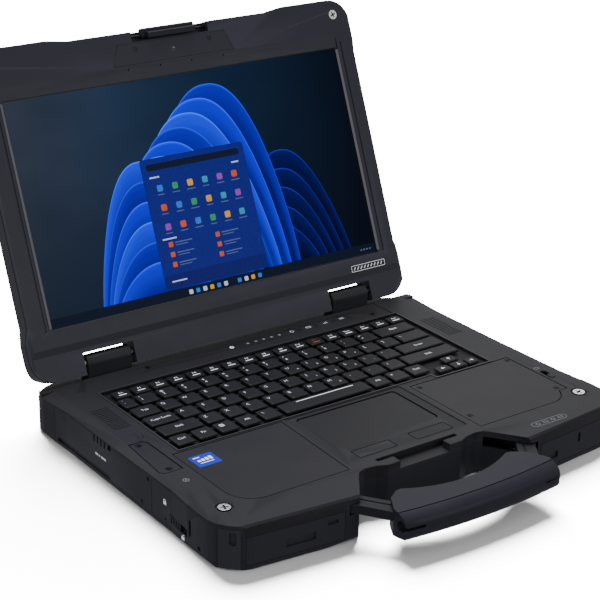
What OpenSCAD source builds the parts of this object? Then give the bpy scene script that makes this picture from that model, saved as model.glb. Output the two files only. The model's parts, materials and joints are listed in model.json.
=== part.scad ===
// Rugged clamshell laptop computer with a pull-out carrying handle.
// Frame: +X to the user's right, +Y away from the user, +Z up, millimetres. Everything is drawn around
// a point near the base's centre, then moved so that the origin is the bottom centre of the whole object.

/* [Base] */
// Width over the corner guards
base_w = 357; // [353:1:361]
// Depth from the front edge to the back edge
base_d = 280; // [278:1:282]
// Height of the deck above the table
deck_z = 33.3; // [33:0.1:34]
// Height of the closed computer
closed_h = 54.4; // [53.5:0.1:56]
// Wall thickness of the housings
wall = 2.5; // [2.2:0.1:2.8]

/* [Lid] */
// Angle between the lid and the deck
lid_open = 112.5; // [95:0.5:120]
// Width of the picture area
screen_w = 309.4; // [300:0.2:312]
// Height of the picture area
screen_h = 174; // [168:0.2:176]

/* [Keyboard] */
// Pitch of the letter keys along a row
key_pitch = 18.7; // [18.5:0.1:18.8]
// Pitch of the rows
row_pitch = 17.9; // [17.5:0.1:18]
// Travel of a key
key_travel = 1.5; // [1:0.1:1.6]

/* [Handle] */
// Travel from stowed to pulled out
handle_travel = 33; // [30:1:33]
// Width of the grip's ends
grip_w = 137; // [134:1:138]

/* [Hidden] */
$fn = 48;
gap = 0.15;                  // seam between neighbouring parts
split_z = 25;                // joint line of the lower case and the deck cover
foot_h = 1;
floor_t = 2;
deck_t = 2;
front_y = -143;
back_y = front_y + base_d;
corner_x = base_w / 2;
side_x = corner_x - 2.5;     // flanks are set in between the corner bulges
hinge_y = back_y - 9;
hinge_z = 41.5;
ledge_y = hinge_y - 9;       // the deck ends here, and a lower ledge runs to the back
ledge_z = 27.5;
lid_back = hinge_z - closed_h;   // rear face of the lid, in lid depth
lid_top = 243;
lid_corner_top = 245.5;
lid_foot = -9;
bezel_w = 6.5;               // front face of the bezel, in lid depth
glass_w = 4.55;
lid_split_w = 1;             // joint line of the lid's rear shell and its bezel
screen_v = 30.6;             // bottom of the picture area above the hinge axis
post_xs = [[-132.5, -94], [100, 136.5]];       // hinge posts, left and right
notch_xs = [[-134.5, -90.5], [98, 140.5]];     // notches in the lid's foot around them
notch_v = 8.2;
post_r = 6.8;
shaft_r = 3;
shaft_clear = 0.05;
key_gap = 3.5;
row_gap = 3;
row0_y = -8.7;               // centre of the front row of keys
key_top = 34.8;
key_low = 32.8;
tray_z = 31.2;               // floor under the keys
pad_z = deck_z - 1.1;        // top of the touchpad
bead_h = 0.4;                // bead round the keyboard well
seam = 0.8;                  // open seam round a cover or pad in the deck
well_x = 141.2;              // keyboard well
well_y0 = -20;
well_y1 = 90;
well_step_x = 88;            // right of this the well reaches further forward, for the arrow keys
well_step = 6;
strip_z = 32.8;              // strip behind the keys
slot_y0 = front_y + 32.5;    // latch slot in the deck
slot_y1 = front_y + 36.2;
bay_y0 = front_y + 103;      // expansion bay in the left flank
bay_y1 = front_y + 237;
bay_z = 3.6;
cover_top = 31;              // top of the covers in the flanks
crease_x = 166.6;            // where the deck starts to slope down to the flanks
battery_y0 = front_y + 22.5; // battery bay in front of it
battery_y1 = bay_y0 - 0.6;
port_y0 = front_y + 150;     // port door in the right flank
port_y1 = front_y + 236;
port_z0 = 6;
port_z1 = 23;
pad_x = 45;
pad_y0 = -78.5;
pad_y1 = -26.5;
click_x0 = 9;                // touchpad buttons
click_x1 = 42;
click_y0 = -98.5;
click_y1 = -87.8;
button_xs = [47.7, 64.3, 81.1, 98];
light_xs = [-10.7, 4.5, 12.4, 19.9, 27.7, 35.4];
strip_mid_y = 107.4;
palm_x0 = 60.3;
palm_x1 = 157.2;
palm_y0 = front_y + 35;
palm_y1 = front_y + 114.6;
arm_z0 = 21.2;               // the handle's arms
arm_z1 = 28.2;
stop_y = front_y + 15 + handle_travel;   // where the arms' travel ends
slot_depth = 1.5;            // of the slots in the front panels
fan_x = 60;
fan_y = 40;
latch_v = 239;               // pivot of the lid latch, in the lid's frame
latch_w = 1.5;
corner_screw_y = front_y + 37.5;
deck_screw_spots = [[153.7, -33], [64.7, -34], [64.6, -91.3], [150.5, -91.2], [-161, 1], [-161.4, -39.8],
    [-86.6, 111.5], [125, 100.5]];
pinhole_spots = [[-153.4, 101.2], [-150, 99.6], [-154.6, 12.6], [-151.2, 11]];
boss_spots = [[140, front_y + 13.5], [52, 127], [140, 108]];
handle_reach = 43.6;         // from the front edge to the front of the pulled-out grip
lid_rear_v = 241.45;         // height of the lid's rearmost edge, in the lid's frame
// from the base's centre to the middle of the whole object
lid_rear_y = hinge_y + lid_rear_v * cos(180 - lid_open) - lid_back * sin(180 - lid_open);
origin_y = (lid_rear_y + front_y - handle_reach) / 2;

// ---------- helpers ----------

// Both sides of the plane x = 0
module both() {
    children();
    mirror([1, 0, 0]) children();
}

// Points of an arc round (x, y)
function arc(x, y, r, a0, a1, n = 10) =
    [for (i = [0:n]) [x + r * cos(a0 + (a1 - a0) * i / n), y + r * sin(a0 + (a1 - a0) * i / n)]];

// A right half outline and its mirror image, as one closed loop
function mirrored(pts) = concat(pts, [for (i = [len(pts) - 1:-1:0]) [-pts[i][0], pts[i][1]]]);

// Moves a part from the base's own centre to the origin
module in_place() {
    translate([0, -origin_y, 0]) children();
}

// Box from its lowest to its highest corner
module block(a, b) {
    translate(a) cube([b[0] - a[0], b[1] - a[1], b[2] - a[2]]);
}

// Upright plate with rounded corners, from its lowest to its highest corner
module plate(a, b, r) {
    translate([0, 0, a[2]]) linear_extrude(b[2] - a[2]) {
        translate([a[0] + r, a[1]]) square([b[0] - a[0] - 2 * r, b[1] - a[1]]);
        translate([a[0], a[1] + r]) square([b[0] - a[0], b[1] - a[1] - 2 * r]);
        for (x = [a[0] + r, b[0] - r], y = [a[1] + r, b[1] - r]) translate([x, y]) circle(r);
    }
}

// Side profile of [y, z] points, extruded from x0 to x1
module profile_x(pts, x0, x1) {
    translate([x0, 0, 0]) rotate([90, 0, 90]) linear_extrude(x1 - x0) polygon(pts);
}

// Round bar along X
module bar_x(x0, x1, y, z, r) {
    translate([x0, y, z]) rotate([0, 90, 0]) cylinder(r = r, h = x1 - x0);
}

// Cap screw with a cross recess, head up, with its seat at z = 0
module screw(head_r, head_h, shank_r, shank_l) {
    difference() {
        cylinder(r = head_r, h = head_h);
        for (a = [20, 110]) rotate(a) translate([-head_r * 0.66, -head_r * 0.15, head_h * 0.4])
            cube([head_r * 1.32, head_r * 0.3, head_h]);
    }
    translate([0, 0, -shank_l]) cylinder(r = shank_r, h = shank_l + 0.01);
}

// Hole for such a screw
module screw_hole(head_r, head_h, shank_r, shank_l) {
    cylinder(r = head_r + gap, h = head_h + 3);
    translate([0, 0, -shank_l - 0.3]) cylinder(r = shank_r + 0.1, h = shank_l + 1);
}

// ---------- outlines ----------

// Right half of the base's outline, from the back to the front, set in by i
function base_half(i) = concat(
    [[60, back_y - i]], arc(corner_x - 27, back_y - 27, 27 - i, 90, 0),
    [[side_x - i, back_y - 58], [side_x - i, front_y + 76], [corner_x - 0.8 - i, front_y + 56],
    [corner_x - i, front_y + 42]],
    arc(corner_x - 26, front_y + 33, 26 - i, 0, -81), [[90, front_y + 0.8 + i], [70, front_y + i]]);

// Plan of the handle pocket, grown outwards by g
function pocket(g) = mirrored([
    [33, front_y + 24.5 + g], [41, front_y + 28 + g], [50 + g * 0.4, front_y + 29 + g],
    [56 + g * 0.8, front_y + 27.5 + g * 0.8], [59 + g * 1.2, front_y + 24.5 + g * 0.5],
    [80.7 + g * 1.2, front_y - 5]]);

// Right half of the lid's outline, from the top to the foot, set in by i
function lid_half(i) = concat(
    [[92, lid_top - i], [110, lid_corner_top - i]],
    arc(corner_x - 2.5 - 20, lid_corner_top - 20, 20 - i, 90, 0),
    [[corner_x - 2.5 - i, 212], [corner_x - 4.5 - i, 200]],
    [[corner_x - 4.5 - i, 36], [corner_x - 0.5 - i, 24]],
    arc(corner_x - 0.5 - 20, lid_foot + 20, 20 - i, 0, -90));

// Draws its children in the lid's own frame: x, height above the hinge axis, depth towards the user
module in_lid() {
    translate([0, hinge_y, hinge_z]) rotate([180 - lid_open, 0, 0]) children();
}

// Slice of the base between two heights
module base_plan(z0, z1) {
    translate([0, 0, z0]) linear_extrude(z1 - z0) difference() {
        polygon(mirrored(base_half(0)));
        polygon(pocket(0));
    }
}

// Everything inside the base's walls, less the pocket's own walls
module base_cavity(z0, z1) {
    translate([0, 0, z0]) linear_extrude(z1 - z0) difference() {
        polygon(mirrored(base_half(wall)));
        polygon(pocket(wall));
    }
}

// Plan of the keyboard well, grown by g
module well_plan(g) {
    polygon([[-well_x - g, well_y0 - g], [well_step_x - g, well_y0 - g],
        [well_step_x - g, well_y0 - well_step - g], [well_x + g, well_y0 - well_step - g],
        [well_x + g, well_y1 + g], [-well_x - g, well_y1 + g]]);
}

// Plan of the screwed cover in the right palm rest, grown by g
module palm_cover_plan(g) {
    polygon(concat([[palm_x0 - g, palm_y0 - g], [131, palm_y0 - g]],
        arc(131, palm_y0 + 19, 19 + g, -90, -20, 8),
        [[151 + g, palm_y0 + 13 - g], [palm_x1 + g, palm_y0 + 13 - g], [palm_x1 + g, palm_y1 + g],
        [palm_x0 - g, palm_y1 + g]]));
}

// Plan of the inlay in the left palm rest, grown by g
module palm_inlay_plan(g) {
    polygon(concat([[-56 + g, -23.6 + g], [-148 - g, -23.6 + g]], arc(-127, -87.5, 21 + g, 180, 270, 8),
        [[-60 + g, -108.5 - g]]));
}

// Plan of the narrow cover left of the palm rest, grown by g
module side_cover_plan(g) {
    polygon([[-169.6 - g, -41 - g], [-167 - g, -44 - g], [-153.5 + g, -44 - g], [-153.5 + g, 2 + g],
        [-156.5 + g, 5 + g], [-166.2 - g, 5 + g]]);
}

// Plan of the block inside a front corner guard
module corner_inner_plan() {
    polygon([[140, front_y - 10], [165, front_y + 8], [165, front_y + 16], [171, front_y + 21],
        [140, front_y + 60]]);
}

// ---------- base housings ----------

// Way for the handle's arms through the pocket's side walls
module arm_slot() {
    both() block([56, front_y - 3, arm_z0 - 0.5], [84.6, front_y + 40, arm_z1 + 0.5]);
}

// Openings in the flanks and the front that other parts fill
module side_openings() {
    block([-corner_x - 1, bay_y0, bay_z], [-side_x + wall + 1, bay_y1, cover_top]);
    block([-corner_x - 1, battery_y0, 4], [-side_x + wall + 1, battery_y1, cover_top]);
    block([side_x - wall - 1, port_y0, port_z0], [corner_x + 1, port_y1, port_z1]);
    both() block([88, front_y - 5, 4], [162, front_y + 14, 24.7]);
    both() difference() {
        block([165, front_y - 1, foot_h - 1], [200, battery_y0 - 0.9, split_z + 5.4]);
        linear_extrude(60) corner_inner_plan();
    }
}

// What the slope beside the deck takes away, in section
module flank_slope() {
    polygon([[crease_x, deck_z], [crease_x + 20, deck_z - 3], [crease_x + 20, deck_z + 3],
        [crease_x, deck_z + 3]]);
}

module bottom_case() color("#26272b") in_place() {
    difference() {
        union() {
            difference() {
                base_plan(foot_h, split_z - gap / 2);
                base_cavity(foot_h + floor_t, split_z + 1);
            }
            both() for (p = boss_spots) translate([p[0], p[1], foot_h + 1]) cylinder(r = 3.8, h = 8);
            // walls of the battery bay and shelf of the expansion bay
            block([-side_x + 1, battery_y1 - 0.4, foot_h + 1], [-92, battery_y1 + 0.4, split_z - 2]);
            block([-93, battery_y0 + 3, foot_h + 1], [-91, battery_y1, split_z - 4]);
            for (y = [bay_y0 + 14, bay_y1 - 24]) block([-166, y, foot_h + 1], [-84, y + 4, bay_z]);
        }
        side_openings();
        arm_slot();
        // lower edge bevel all round
        both() translate([corner_x, 0, foot_h]) rotate([0, 45, 0]) cube([3, base_d + 2, 3], center = true);
        for (y = [front_y, back_y]) translate([0, y, foot_h])
            rotate([45, 0, 0]) cube([base_w + 2, 3, 3], center = true);
        both() for (p = boss_spots) translate([p[0], p[1], foot_h + 1.3])
            mirror([0, 0, 1]) screw_hole(2.6, 1, 1.2, 5.5);
        // intake grille under the fan
        for (i = [-5:5]) translate([fan_x, fan_y + i * 4, 0])
            block([-22, -0.8, 0], [22, 0.8, foot_h + 3]);
        // exhaust slots and the opening for the rear connectors
        for (i = [0:8]) block([124 + i * 4, back_y - 5, 8], [126 + i * 4, back_y + 1, 20]);
        block([-90, back_y - 5, 6], [90, back_y + 1, 22]);
    }
}

module top_cover() color("#2b2c30") in_place() {
    difference() {
        union() {
            difference() {
                base_plan(split_z + gap / 2, deck_z);
                base_cavity(split_z - 1, deck_z - deck_t);
                block([-200, ledge_y, ledge_z], [200, 200, deck_z + 1]);
            }
            // plate of the rear ledge, and the riser in front of it
            intersection() {
                base_plan(split_z + gap / 2, deck_z);
                union() {
                    block([-200, ledge_y - 2, split_z], [200, 200, ledge_z]);
                    block([-200, ledge_y - 2.5, split_z], [200, ledge_y, deck_z]);
                }
            }
            // fine bead round the keyboard well
            translate([0, 0, deck_z - 0.2]) linear_extrude(0.2 + bead_h) well_plan(1.5);
            // shelves under the covers and the pad
            block([palm_x0 - 2, palm_y0 - 2, deck_z - 2.9],
                [palm_x1 + 1.3, palm_y1 + 0.8, deck_z - deck_t + 0.1]);
            block([-56, -103, deck_z - 3.4], [56, -22, deck_z - deck_t + 0.1]);
            // tray that closes the latch slot
            block([-33, front_y + 26.4, deck_z - 7.2], [33, slot_y0, deck_z - deck_t + 0.1]);
            block([-38.5, front_y + 29.6, deck_z - 7.2], [38.5, slot_y1 + 1.6, deck_z - deck_t + 0.1]);
        }
        side_openings();
        arm_slot();
        translate([0, 0, tray_z]) linear_extrude(10) well_plan(0);
        block([-140, well_y1 + 2, strip_z], [140, ledge_y + 1, deck_z + 1]);
        for (x = button_xs) plate([x - 6.2, strip_mid_y - 4, 20], [x + 6.2, strip_mid_y + 4, deck_z + 1], 2);
        for (x = light_xs) translate([x, strip_mid_y, 20]) cylinder(r = 1.25, h = 20);
        // touchpad, its shallow surround and its two buttons
        plate([-53.7, -101.5, deck_z - 0.5], [53.7, -22.5, deck_z + 1], 3);
        plate([-pad_x - seam, pad_y0 - seam, pad_z - 1.3], [pad_x + seam, pad_y1 + seam, deck_z + 1], 3.4);
        both() plate([click_x0 - 0.5, click_y0 - 0.5, 20],
            [click_x1 + 0.5, click_y1 + 0.5, deck_z + 1], 1.5);
        translate([0, 0, deck_z - 1.5]) linear_extrude(3) palm_cover_plan(seam);
        translate([0, 0, deck_z - 0.5]) linear_extrude(3) palm_inlay_plan(seam);
        translate([0, 0, deck_z - 1.2]) linear_extrude(3) side_cover_plan(seam);
        // latch slot: a stepped notch behind the handle pocket
        block([-36, slot_y0, deck_z - 5.6], [36, slot_y1, deck_z + 1]);
        block([-22.5, front_y + 20, deck_z - 5.6], [22.5, slot_y0 + 1, deck_z + 1]);
        // fine slots over each speaker, pinholes, screws in their dishes and the power switch
        both() for (i = [0:14]) block([148.5, 31 + i * 2.5, 20], [163, 31.7 + i * 2.5, 40]);
        for (p = pinhole_spots) translate([p[0], p[1], deck_z - 0.9]) cylinder(r = 0.6, h = 5);
        both() translate([160, corner_screw_y, deck_z - 1.6]) screw_hole(4.6, 1.5, 2, 4);
        both() translate([160, corner_screw_y, deck_z - 0.9]) cylinder(r = 6.2, h = 5);
        for (p = deck_screw_spots) translate([p[0], p[1], deck_z - 1.2]) screw_hole(2.4, 1, 1, 3);
        plate([160.4, -76, 20], [165.4, -62, 40], 2.2);
        // slopes down to the flanks, and a bevel along the front edge
        both() {
            translate([0, ledge_y - 7, 0]) rotate([90, 0, 0]) linear_extrude(ledge_y - 16.6) flank_slope();
            translate([crease_x, 9.8, 0]) rotate([0, 0, 4.5]) translate([-crease_x, 0, 0]) rotate([90, 0, 0])
                linear_extrude(100) flank_slope();
            translate([70, front_y, deck_z]) rotate([0, 0, 5.4]) rotate([45, 0, 0])
                translate([-20, -1.3, -1.3]) cube([130, 2.6, 2.6]);
        }
    }
}

// ---------- base trim ----------

// Hard corner piece with an oval strap hole
module corner_guard() {
    difference() {
        intersection() {
            base_plan(foot_h + 0.4, split_z + 5.4 - gap);
            block([165 + gap, front_y - 1, 0], [200, battery_y0 - 1.1, 60]);
        }
        linear_extrude(60) translate([gap, gap]) corner_inner_plan();
        translate([169.5, front_y + 13.5, 23.6]) rotate([0, 90, -48])
            plate([-5, -2.4, -2], [5, 2.4, 20], 2.3);
    }
}

module front_left_corner_guard() color("#232428") in_place() mirror([1, 0, 0]) corner_guard();

module front_right_corner_guard() color("#232428") in_place() corner_guard();

// Panel in the front face with shallow slots in it; each slot is [x0, x1, z0, z1]
module front_panel(slots) {
    difference() {
        intersection() {
            base_plan(4 + gap, 24.7 - gap);
            block([88 + gap, front_y - 5, 0], [162 - gap, front_y + 13.8, 60]);
        }
        linear_extrude(60) polygon(mirrored(base_half(wall)));
        difference() {
            for (s = slots) block([s[0], front_y - 5, s[2]], [s[1], front_y + 20, s[3]]);
            linear_extrude(60) polygon(mirrored(base_half(slot_depth)));
        }
    }
}

module front_left_panel() color("#25262a") in_place() mirror([1, 0, 0])
    front_panel([[110.5, 132.5, 10.2, 15.6], [93.4, 101.2, 18, 20.6]]);

module front_right_panel() color("#25262a") in_place() front_panel([[129, 131.2, 14, 21], [94, 107, 9, 14]]);

module expansion_module() color("#242529") in_place() difference() {
    union() {
        intersection() {
            base_plan(bay_z + gap, cover_top - gap);
            block([-200, bay_y0 + gap, 0], [-side_x + 3.3, bay_y1 - gap, 60]);
        }
        block([-side_x + 3, bay_y0 + 3, bay_z + gap], [-84, bay_y1 - 3, 21.5]);
    }
    // lower finger groove, air slots in the upper edge, and screw recesses at the front end
    block([-side_x - 4, 16.5, bay_z - 1], [-side_x + 0.8, bay_y1 - 3.5, 7]);
    for (i = [0:3]) block([-side_x - 3, 22.4 + i * 4.9, 25.6], [-side_x + 2, 24 + i * 4.9, cover_top]);
    block([-side_x - 3, 14.6, 26.6], [-side_x + 2, 18.6, cover_top]);
    translate([-side_x + 1, bay_y0 + 4, 27.6]) rotate([0, -90, 0]) cylinder(r = 1.8, h = 4);
    translate([-side_x + 0.6, bay_y0 + 12, 7]) rotate([0, -90, 0]) cylinder(r = 1.8, h = 4);
}

module battery_pack() color("#242529") in_place() difference() {
    union() {
        intersection() {
            base_plan(4 + gap, cover_top - gap);
            block([-200, battery_y0 + gap, 0], [-side_x + 3.3, battery_y1 - 0.2, 60]);
        }
        block([-side_x + 3, battery_y0 + 5, 4 + gap], [-94, battery_y1 - 1.2, 21.8]);
    }
    // recess of its latch, the slot beside it, and screw recesses
    block([-side_x - 4, -88, 7.2], [-side_x + 1.6, -63, 13.6]);
    block([-side_x - 4, -93, 10.5], [-side_x + 1.2, -90.4, 22.5]);
    translate([-side_x + 0.8, -103.5, 6.8]) rotate([0, -90, 0]) cylinder(r = 1.8, h = 5);
    translate([-side_x + 0.8, -58.5, 7.2]) rotate([0, -90, 0]) cylinder(r = 1, h = 5);
}

module battery_latch() color("#1b1c1f") in_place() difference() {
    block([-side_x - 0.4, -78, 7.5], [-side_x + 1.3, -63.4, 13.3]);
    for (i = [0:3]) block([-side_x - 1, -76 + i * 3, 8.2], [-side_x + 0.1, -75 + i * 3, 12.6]);
}

module right_port_door() color("#242529") in_place() {
    difference() {
        block([side_x - wall, port_y0 + gap, port_z0 + 2], [side_x, port_y1 - gap, port_z1 - gap]);
        block([side_x - 0.8, port_y0 + 34, port_z1 - 3], [side_x + 1, port_y0 + 52, port_z1 + 1]);
    }
    // hinge barrel along its lower edge
    translate([side_x - 1.6, port_y0 + gap, port_z0 + 1.9]) rotate([-90, 0, 0])
        cylinder(r = 1.5, h = port_y1 - port_y0 - 2 * gap);
}

// Closed covers over the rear connectors, each with a lip to open it by
module rear_port_covers() color("#202124") in_place() {
    for (c = [[-90, -58], [-57.4, 14], [14.6, 90]]) difference() {
        block([c[0] + gap, back_y - 3.4, 6 + gap], [c[1] - gap, back_y - 0.5, 22 - gap]);
        block([c[0] + 3, back_y - 1.3, 19], [c[1] - 3, back_y + 1, 20.6]);
    }
}

// ---------- keyboard ----------

// One key, by its centre and size: a skirt, a slightly smaller top and a guide stem
module key(x, y, w, d) {
    plate([x - w / 2, y - d / 2, key_low], [x + w / 2, y + d / 2, key_top - 0.6], 1.2);
    plate([x - w / 2 + 0.5, y - d / 2 + 0.5, key_low], [x + w / 2 - 0.5, y + d / 2 - 0.5, key_top], 1.2);
    translate([x, y, tray_z - 1.9]) cylinder(r = 1.5, h = key_low - tray_z + 2);
}

// Each row is a list of keys as [left edge, right edge]
key_w = key_pitch - key_gap;
key_d = row_pitch - row_gap;
function run(x0, n) = [for (i = [0:n - 1]) [x0 + i * key_pitch - key_w / 2, x0 + i * key_pitch + key_w / 2]];
function row_y(i) = row0_y + row_pitch * i;
fn_y = row_y(4) + key_d / 2 + row_gap + 5.45;
fn_row = [for (i = [0:16]) [-135.7 + i * 16.25, -122.4 + i * 16.25]];
number_row = concat([[-138.4, -127.3]], run(-116.6, 12), [[99.8, 134.4]]);
upper_row = concat([[-138.4, -119]], run(-108.3, 12), [[108.1, 134.4]]);
home_row = concat([[-138.4, -114.4]], run(-103.5, 11), [[94.2, 134.4]]);
lower_row = concat([[-138.4, -105.2]], run(-94.4, 10), [[84.6, 134.4]]);
bottom_left_row = [[-138.4, -124], [-120.3, -105.1], [-101.6, -86.4], [-82.8, -67.6], [-64, -48.8]];
bottom_right_row = [[37.3, 52.5], [56.1, 71.3], [74.9, 90.1]];
space_key = [[-45, 33.8]];

module key_row(keys, y, d) {
    for (k = keys) key((k[0] + k[1]) / 2, y, k[1] - k[0], d);
}

module function_keys() color("#17181a") in_place() key_row(fn_row, fn_y, 11.4);

module number_keys() color("#17181a") in_place() key_row(number_row, row_y(4), key_d);

module upper_letter_keys() color("#17181a") in_place() key_row(upper_row, row_y(3), key_d);

module home_row_keys() color("#17181a") in_place() key_row(home_row, row_y(2), key_d);

module lower_letter_keys() color("#17181a") in_place() key_row(lower_row, row_y(1), key_d);

module bottom_row_keys() color("#17181a") in_place() {
    key_row(bottom_left_row, row0_y, key_d);
    key_row(bottom_right_row, row0_y, key_d);
}

module space_bar() color("#17181a") in_place() key_row(space_key, row0_y, key_d);

module arrow_keys() color("#17181a") in_place() {
    key(116.2, row0_y + 1.9, 12.8, 9.2);
    for (x = [101, 116.2]) key(x, row0_y - 9.6, 12.8, 9.2);
    key(129.5, row0_y - 9.6, 10.2, 9.2);
}

module keyboard_tray() color("#1d1e21") in_place() difference() {
    translate([0, 0, tray_z - 1.6]) linear_extrude(deck_z - deck_t - tray_z + 1.6) well_plan(1.4);
    translate([0, 0, tray_z]) linear_extrude(10) well_plan(0);
    // guide holes for the stems
    for (r = [[number_row, 4], [upper_row, 3], [home_row, 2], [lower_row, 1], [bottom_left_row, 0],
        [bottom_right_row, 0], [space_key, 0]])
        for (k = r[0]) translate([(k[0] + k[1]) / 2, row_y(r[1]), 20]) cylinder(r = 1.9, h = 20);
    for (k = fn_row) translate([(k[0] + k[1]) / 2, fn_y, 20]) cylinder(r = 1.9, h = 20);
    translate([116.2, row0_y + 1.9, 20]) cylinder(r = 1.9, h = 20);
    for (x = [101, 116.2, 129.5]) translate([x, row0_y - 9.6, 20]) cylinder(r = 1.9, h = 20);
}

// ---------- deck parts ----------

module touchpad() color("#232428") in_place()
    plate([-pad_x, pad_y0, pad_z - 1.3], [pad_x, pad_y1, pad_z], 3);

// Click button of the touchpad, with a flange that keeps it under the deck
module click_button() {
    plate([click_x0, click_y0, deck_z - 4.5], [click_x1, click_y1, deck_z - 0.4], 1.4);
    plate([click_x0 - 1.2, click_y0 - 1.2, deck_z - 4.5],
        [click_x1 + 1.2, click_y1 + 1.2, deck_z - 3.6], 1.4);
}

module touchpad_left_button() color("#242529") in_place() mirror([1, 0, 0]) click_button();

module touchpad_right_button() color("#242529") in_place() click_button();

module palm_rest_cover() color("#292a2e") in_place() difference() {
    translate([0, 0, deck_z - 1.5]) linear_extrude(1.4) palm_cover_plan(0);
    for (i = [0:3]) translate([deck_screw_spots[i][0], deck_screw_spots[i][1], deck_z - 1.2])
        screw_hole(2.4, 1, 1, 3);
}

module palm_rest_inlay() color("#292a2e") in_place()
    translate([0, 0, deck_z - 0.5]) linear_extrude(0.4) palm_inlay_plan(0);

module side_cover() color("#292a2e") in_place() difference() {
    translate([0, 0, deck_z - 1.2]) linear_extrude(1.1) side_cover_plan(0);
    for (i = [4:5]) translate([deck_screw_spots[i][0], deck_screw_spots[i][1], deck_z - 1.2])
        screw_hole(2.4, 1, 1, 3);
}

module deck_screws() color("#18181a") in_place()
    for (p = deck_screw_spots) translate([p[0], p[1], deck_z - 1.2]) screw(2.4, 0.8, 1, 3);

module corner_screws() color("#c9cbce") in_place() both()
    translate([160, corner_screw_y, deck_z - 1.6]) screw(4.5, 1.9, 2, 4);

// Flat button in the strip behind the keys
module shortcut_button(i) {
    x = button_xs[i];
    plate([x - 6, strip_mid_y - 3.8, deck_z - 3], [x + 6, strip_mid_y + 3.8, strip_z - 0.05], 1.8);
    plate([x - 7.2, strip_mid_y - 5, deck_z - 3], [x + 7.2, strip_mid_y + 5, deck_z - deck_t - 0.2], 1.8);
}

module shortcut_button_1() color("#202124") in_place() shortcut_button(0);

module shortcut_button_2() color("#202124") in_place() shortcut_button(1);

module shortcut_button_3() color("#202124") in_place() shortcut_button(2);

module shortcut_button_4() color("#202124") in_place() shortcut_button(3);

// Sliding switch right of the palm rest, with a foot under the deck
module power_switch() color("#18181a") in_place() {
    plate([160.7, -75.7, deck_z - 3.6], [165.1, -69.4, deck_z + 0.5], 1.8);
    plate([159, -77, deck_z - 3.6], [166.8, -68, deck_z - deck_t - 0.2], 1.8);
}

module status_lights() color("#dfe6ee") in_place() {
    for (x = light_xs)
        translate([x, strip_mid_y, deck_z - 3.2]) cylinder(r = 1.25, h = strip_z - deck_z + 3.2);
    block([light_xs[0] - 2, strip_mid_y - 2, deck_z - 3.2],
        [light_xs[5] + 2, strip_mid_y + 2, deck_z - deck_t]);
}

module speakers() color("#1a1a1c") in_place() both()
    plate([147, 28, 22], [164.5, 70, deck_z - deck_t], 3);

// ---------- inside the base ----------

module mainboard() color("#1f5a3c") in_place() difference() {
    union() {
        block([-80, 18, 6], [165, 125, 7.6]);
        block([-80, -95, 6], [80, 18.1, 7.6]);
        // feet that it stands on
        for (p = [[-72, 30], [110, 30], [150, 60], [-20, 110], [-60, -60], [60, -60], [0, -20]])
            translate([p[0], p[1], foot_h + floor_t]) cylinder(r = 3, h = 3);
    }
    translate([fan_x, fan_y, 0]) cylinder(r = 30, h = 20);
    both() for (p = boss_spots) translate([p[0], p[1], 0]) cylinder(r = 4.5, h = 20);
}

module heat_sink() color("#9a9da1") in_place() {
    block([-30, 34, 7.6], [24, 66, 10]);
    for (i = [0:12]) block([-30 + i * 4.2, 34, 9.9], [-28.8 + i * 4.2, 66, 17]);
}

// Blower wheel on its own hub, over the intake
module fan_rotor() color("#151517") in_place() translate([fan_x, fan_y, 9]) {
    difference() {
        cylinder(r = 9, h = 10);
        translate([0, 0, -1]) cylinder(r = 2.05, h = 8);
    }
    for (a = [0:30:330]) rotate(a) block([8.5, -0.6, 0], [25, 0.6, 9]);
    difference() {
        cylinder(r = 25.5, h = 1.2);
        translate([0, 0, -1]) cylinder(r = 23.5, h = 4);
    }
}

module storage_drive() color("#8d9095") in_place() {
    plate([100, -70, foot_h + floor_t], [165, 5, foot_h + floor_t + 7], 2);
}

module rubber_feet() color("#131314") in_place() {
    for (x = [-1, 1], y = [front_y + 34, back_y - 22]) {
        plate([x * 132 - 20, y - 5, 0], [x * 132 + 20, y + 5, foot_h], 4.9);
    }
}

module bottom_screws() color("#2a2a2c") in_place() both() for (p = boss_spots)
    translate([p[0], p[1], foot_h + 1.3]) mirror([0, 0, 1]) screw(2.6, 0.9, 1.2, 5.5);

// ---------- hinges ----------

// Upright hinge post on the rear ledge, bored for the lid's shaft
module hinge_post(x0, x1) {
    difference() {
        union() {
            bar_x(x0, x1, hinge_y, hinge_z, post_r);
            block([x0, hinge_y - post_r, ledge_z], [x1, hinge_y + post_r, hinge_z]);
        }
        bar_x(x0 - 1, x1 + 1, hinge_y, hinge_z, shaft_r + shaft_clear);
    }
}

module left_hinge_post() color("#232428") in_place() hinge_post(post_xs[0][0], post_xs[0][1]);

module right_hinge_post() color("#232428") in_place() hinge_post(post_xs[1][0], post_xs[1][1]);

// Steel shaft with the bracket that the lid is screwed to; side is -1 on the left
module hinge_arm(n, side) {
    x_in = side < 0 ? n[1] : n[0];
    x_out = side < 0 ? n[0] : n[1];
    in_lid() {
        bar_x(min(x_in - side * 8, x_out + side * 5), max(x_in - side * 8, x_out + side * 5), 0, 0, shaft_r);
        block([min(x_in - side * 8, x_in - side * 3), -3, -8],
            [max(x_in - side * 8, x_in - side * 3), 20, 0.6]);
    }
}

module left_hinge_arm() color("#b9bbbe") in_place() hinge_arm(notch_xs[0], -1);

module right_hinge_arm() color("#b9bbbe") in_place() hinge_arm(notch_xs[1], 1);

// ---------- handle ----------

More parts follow.
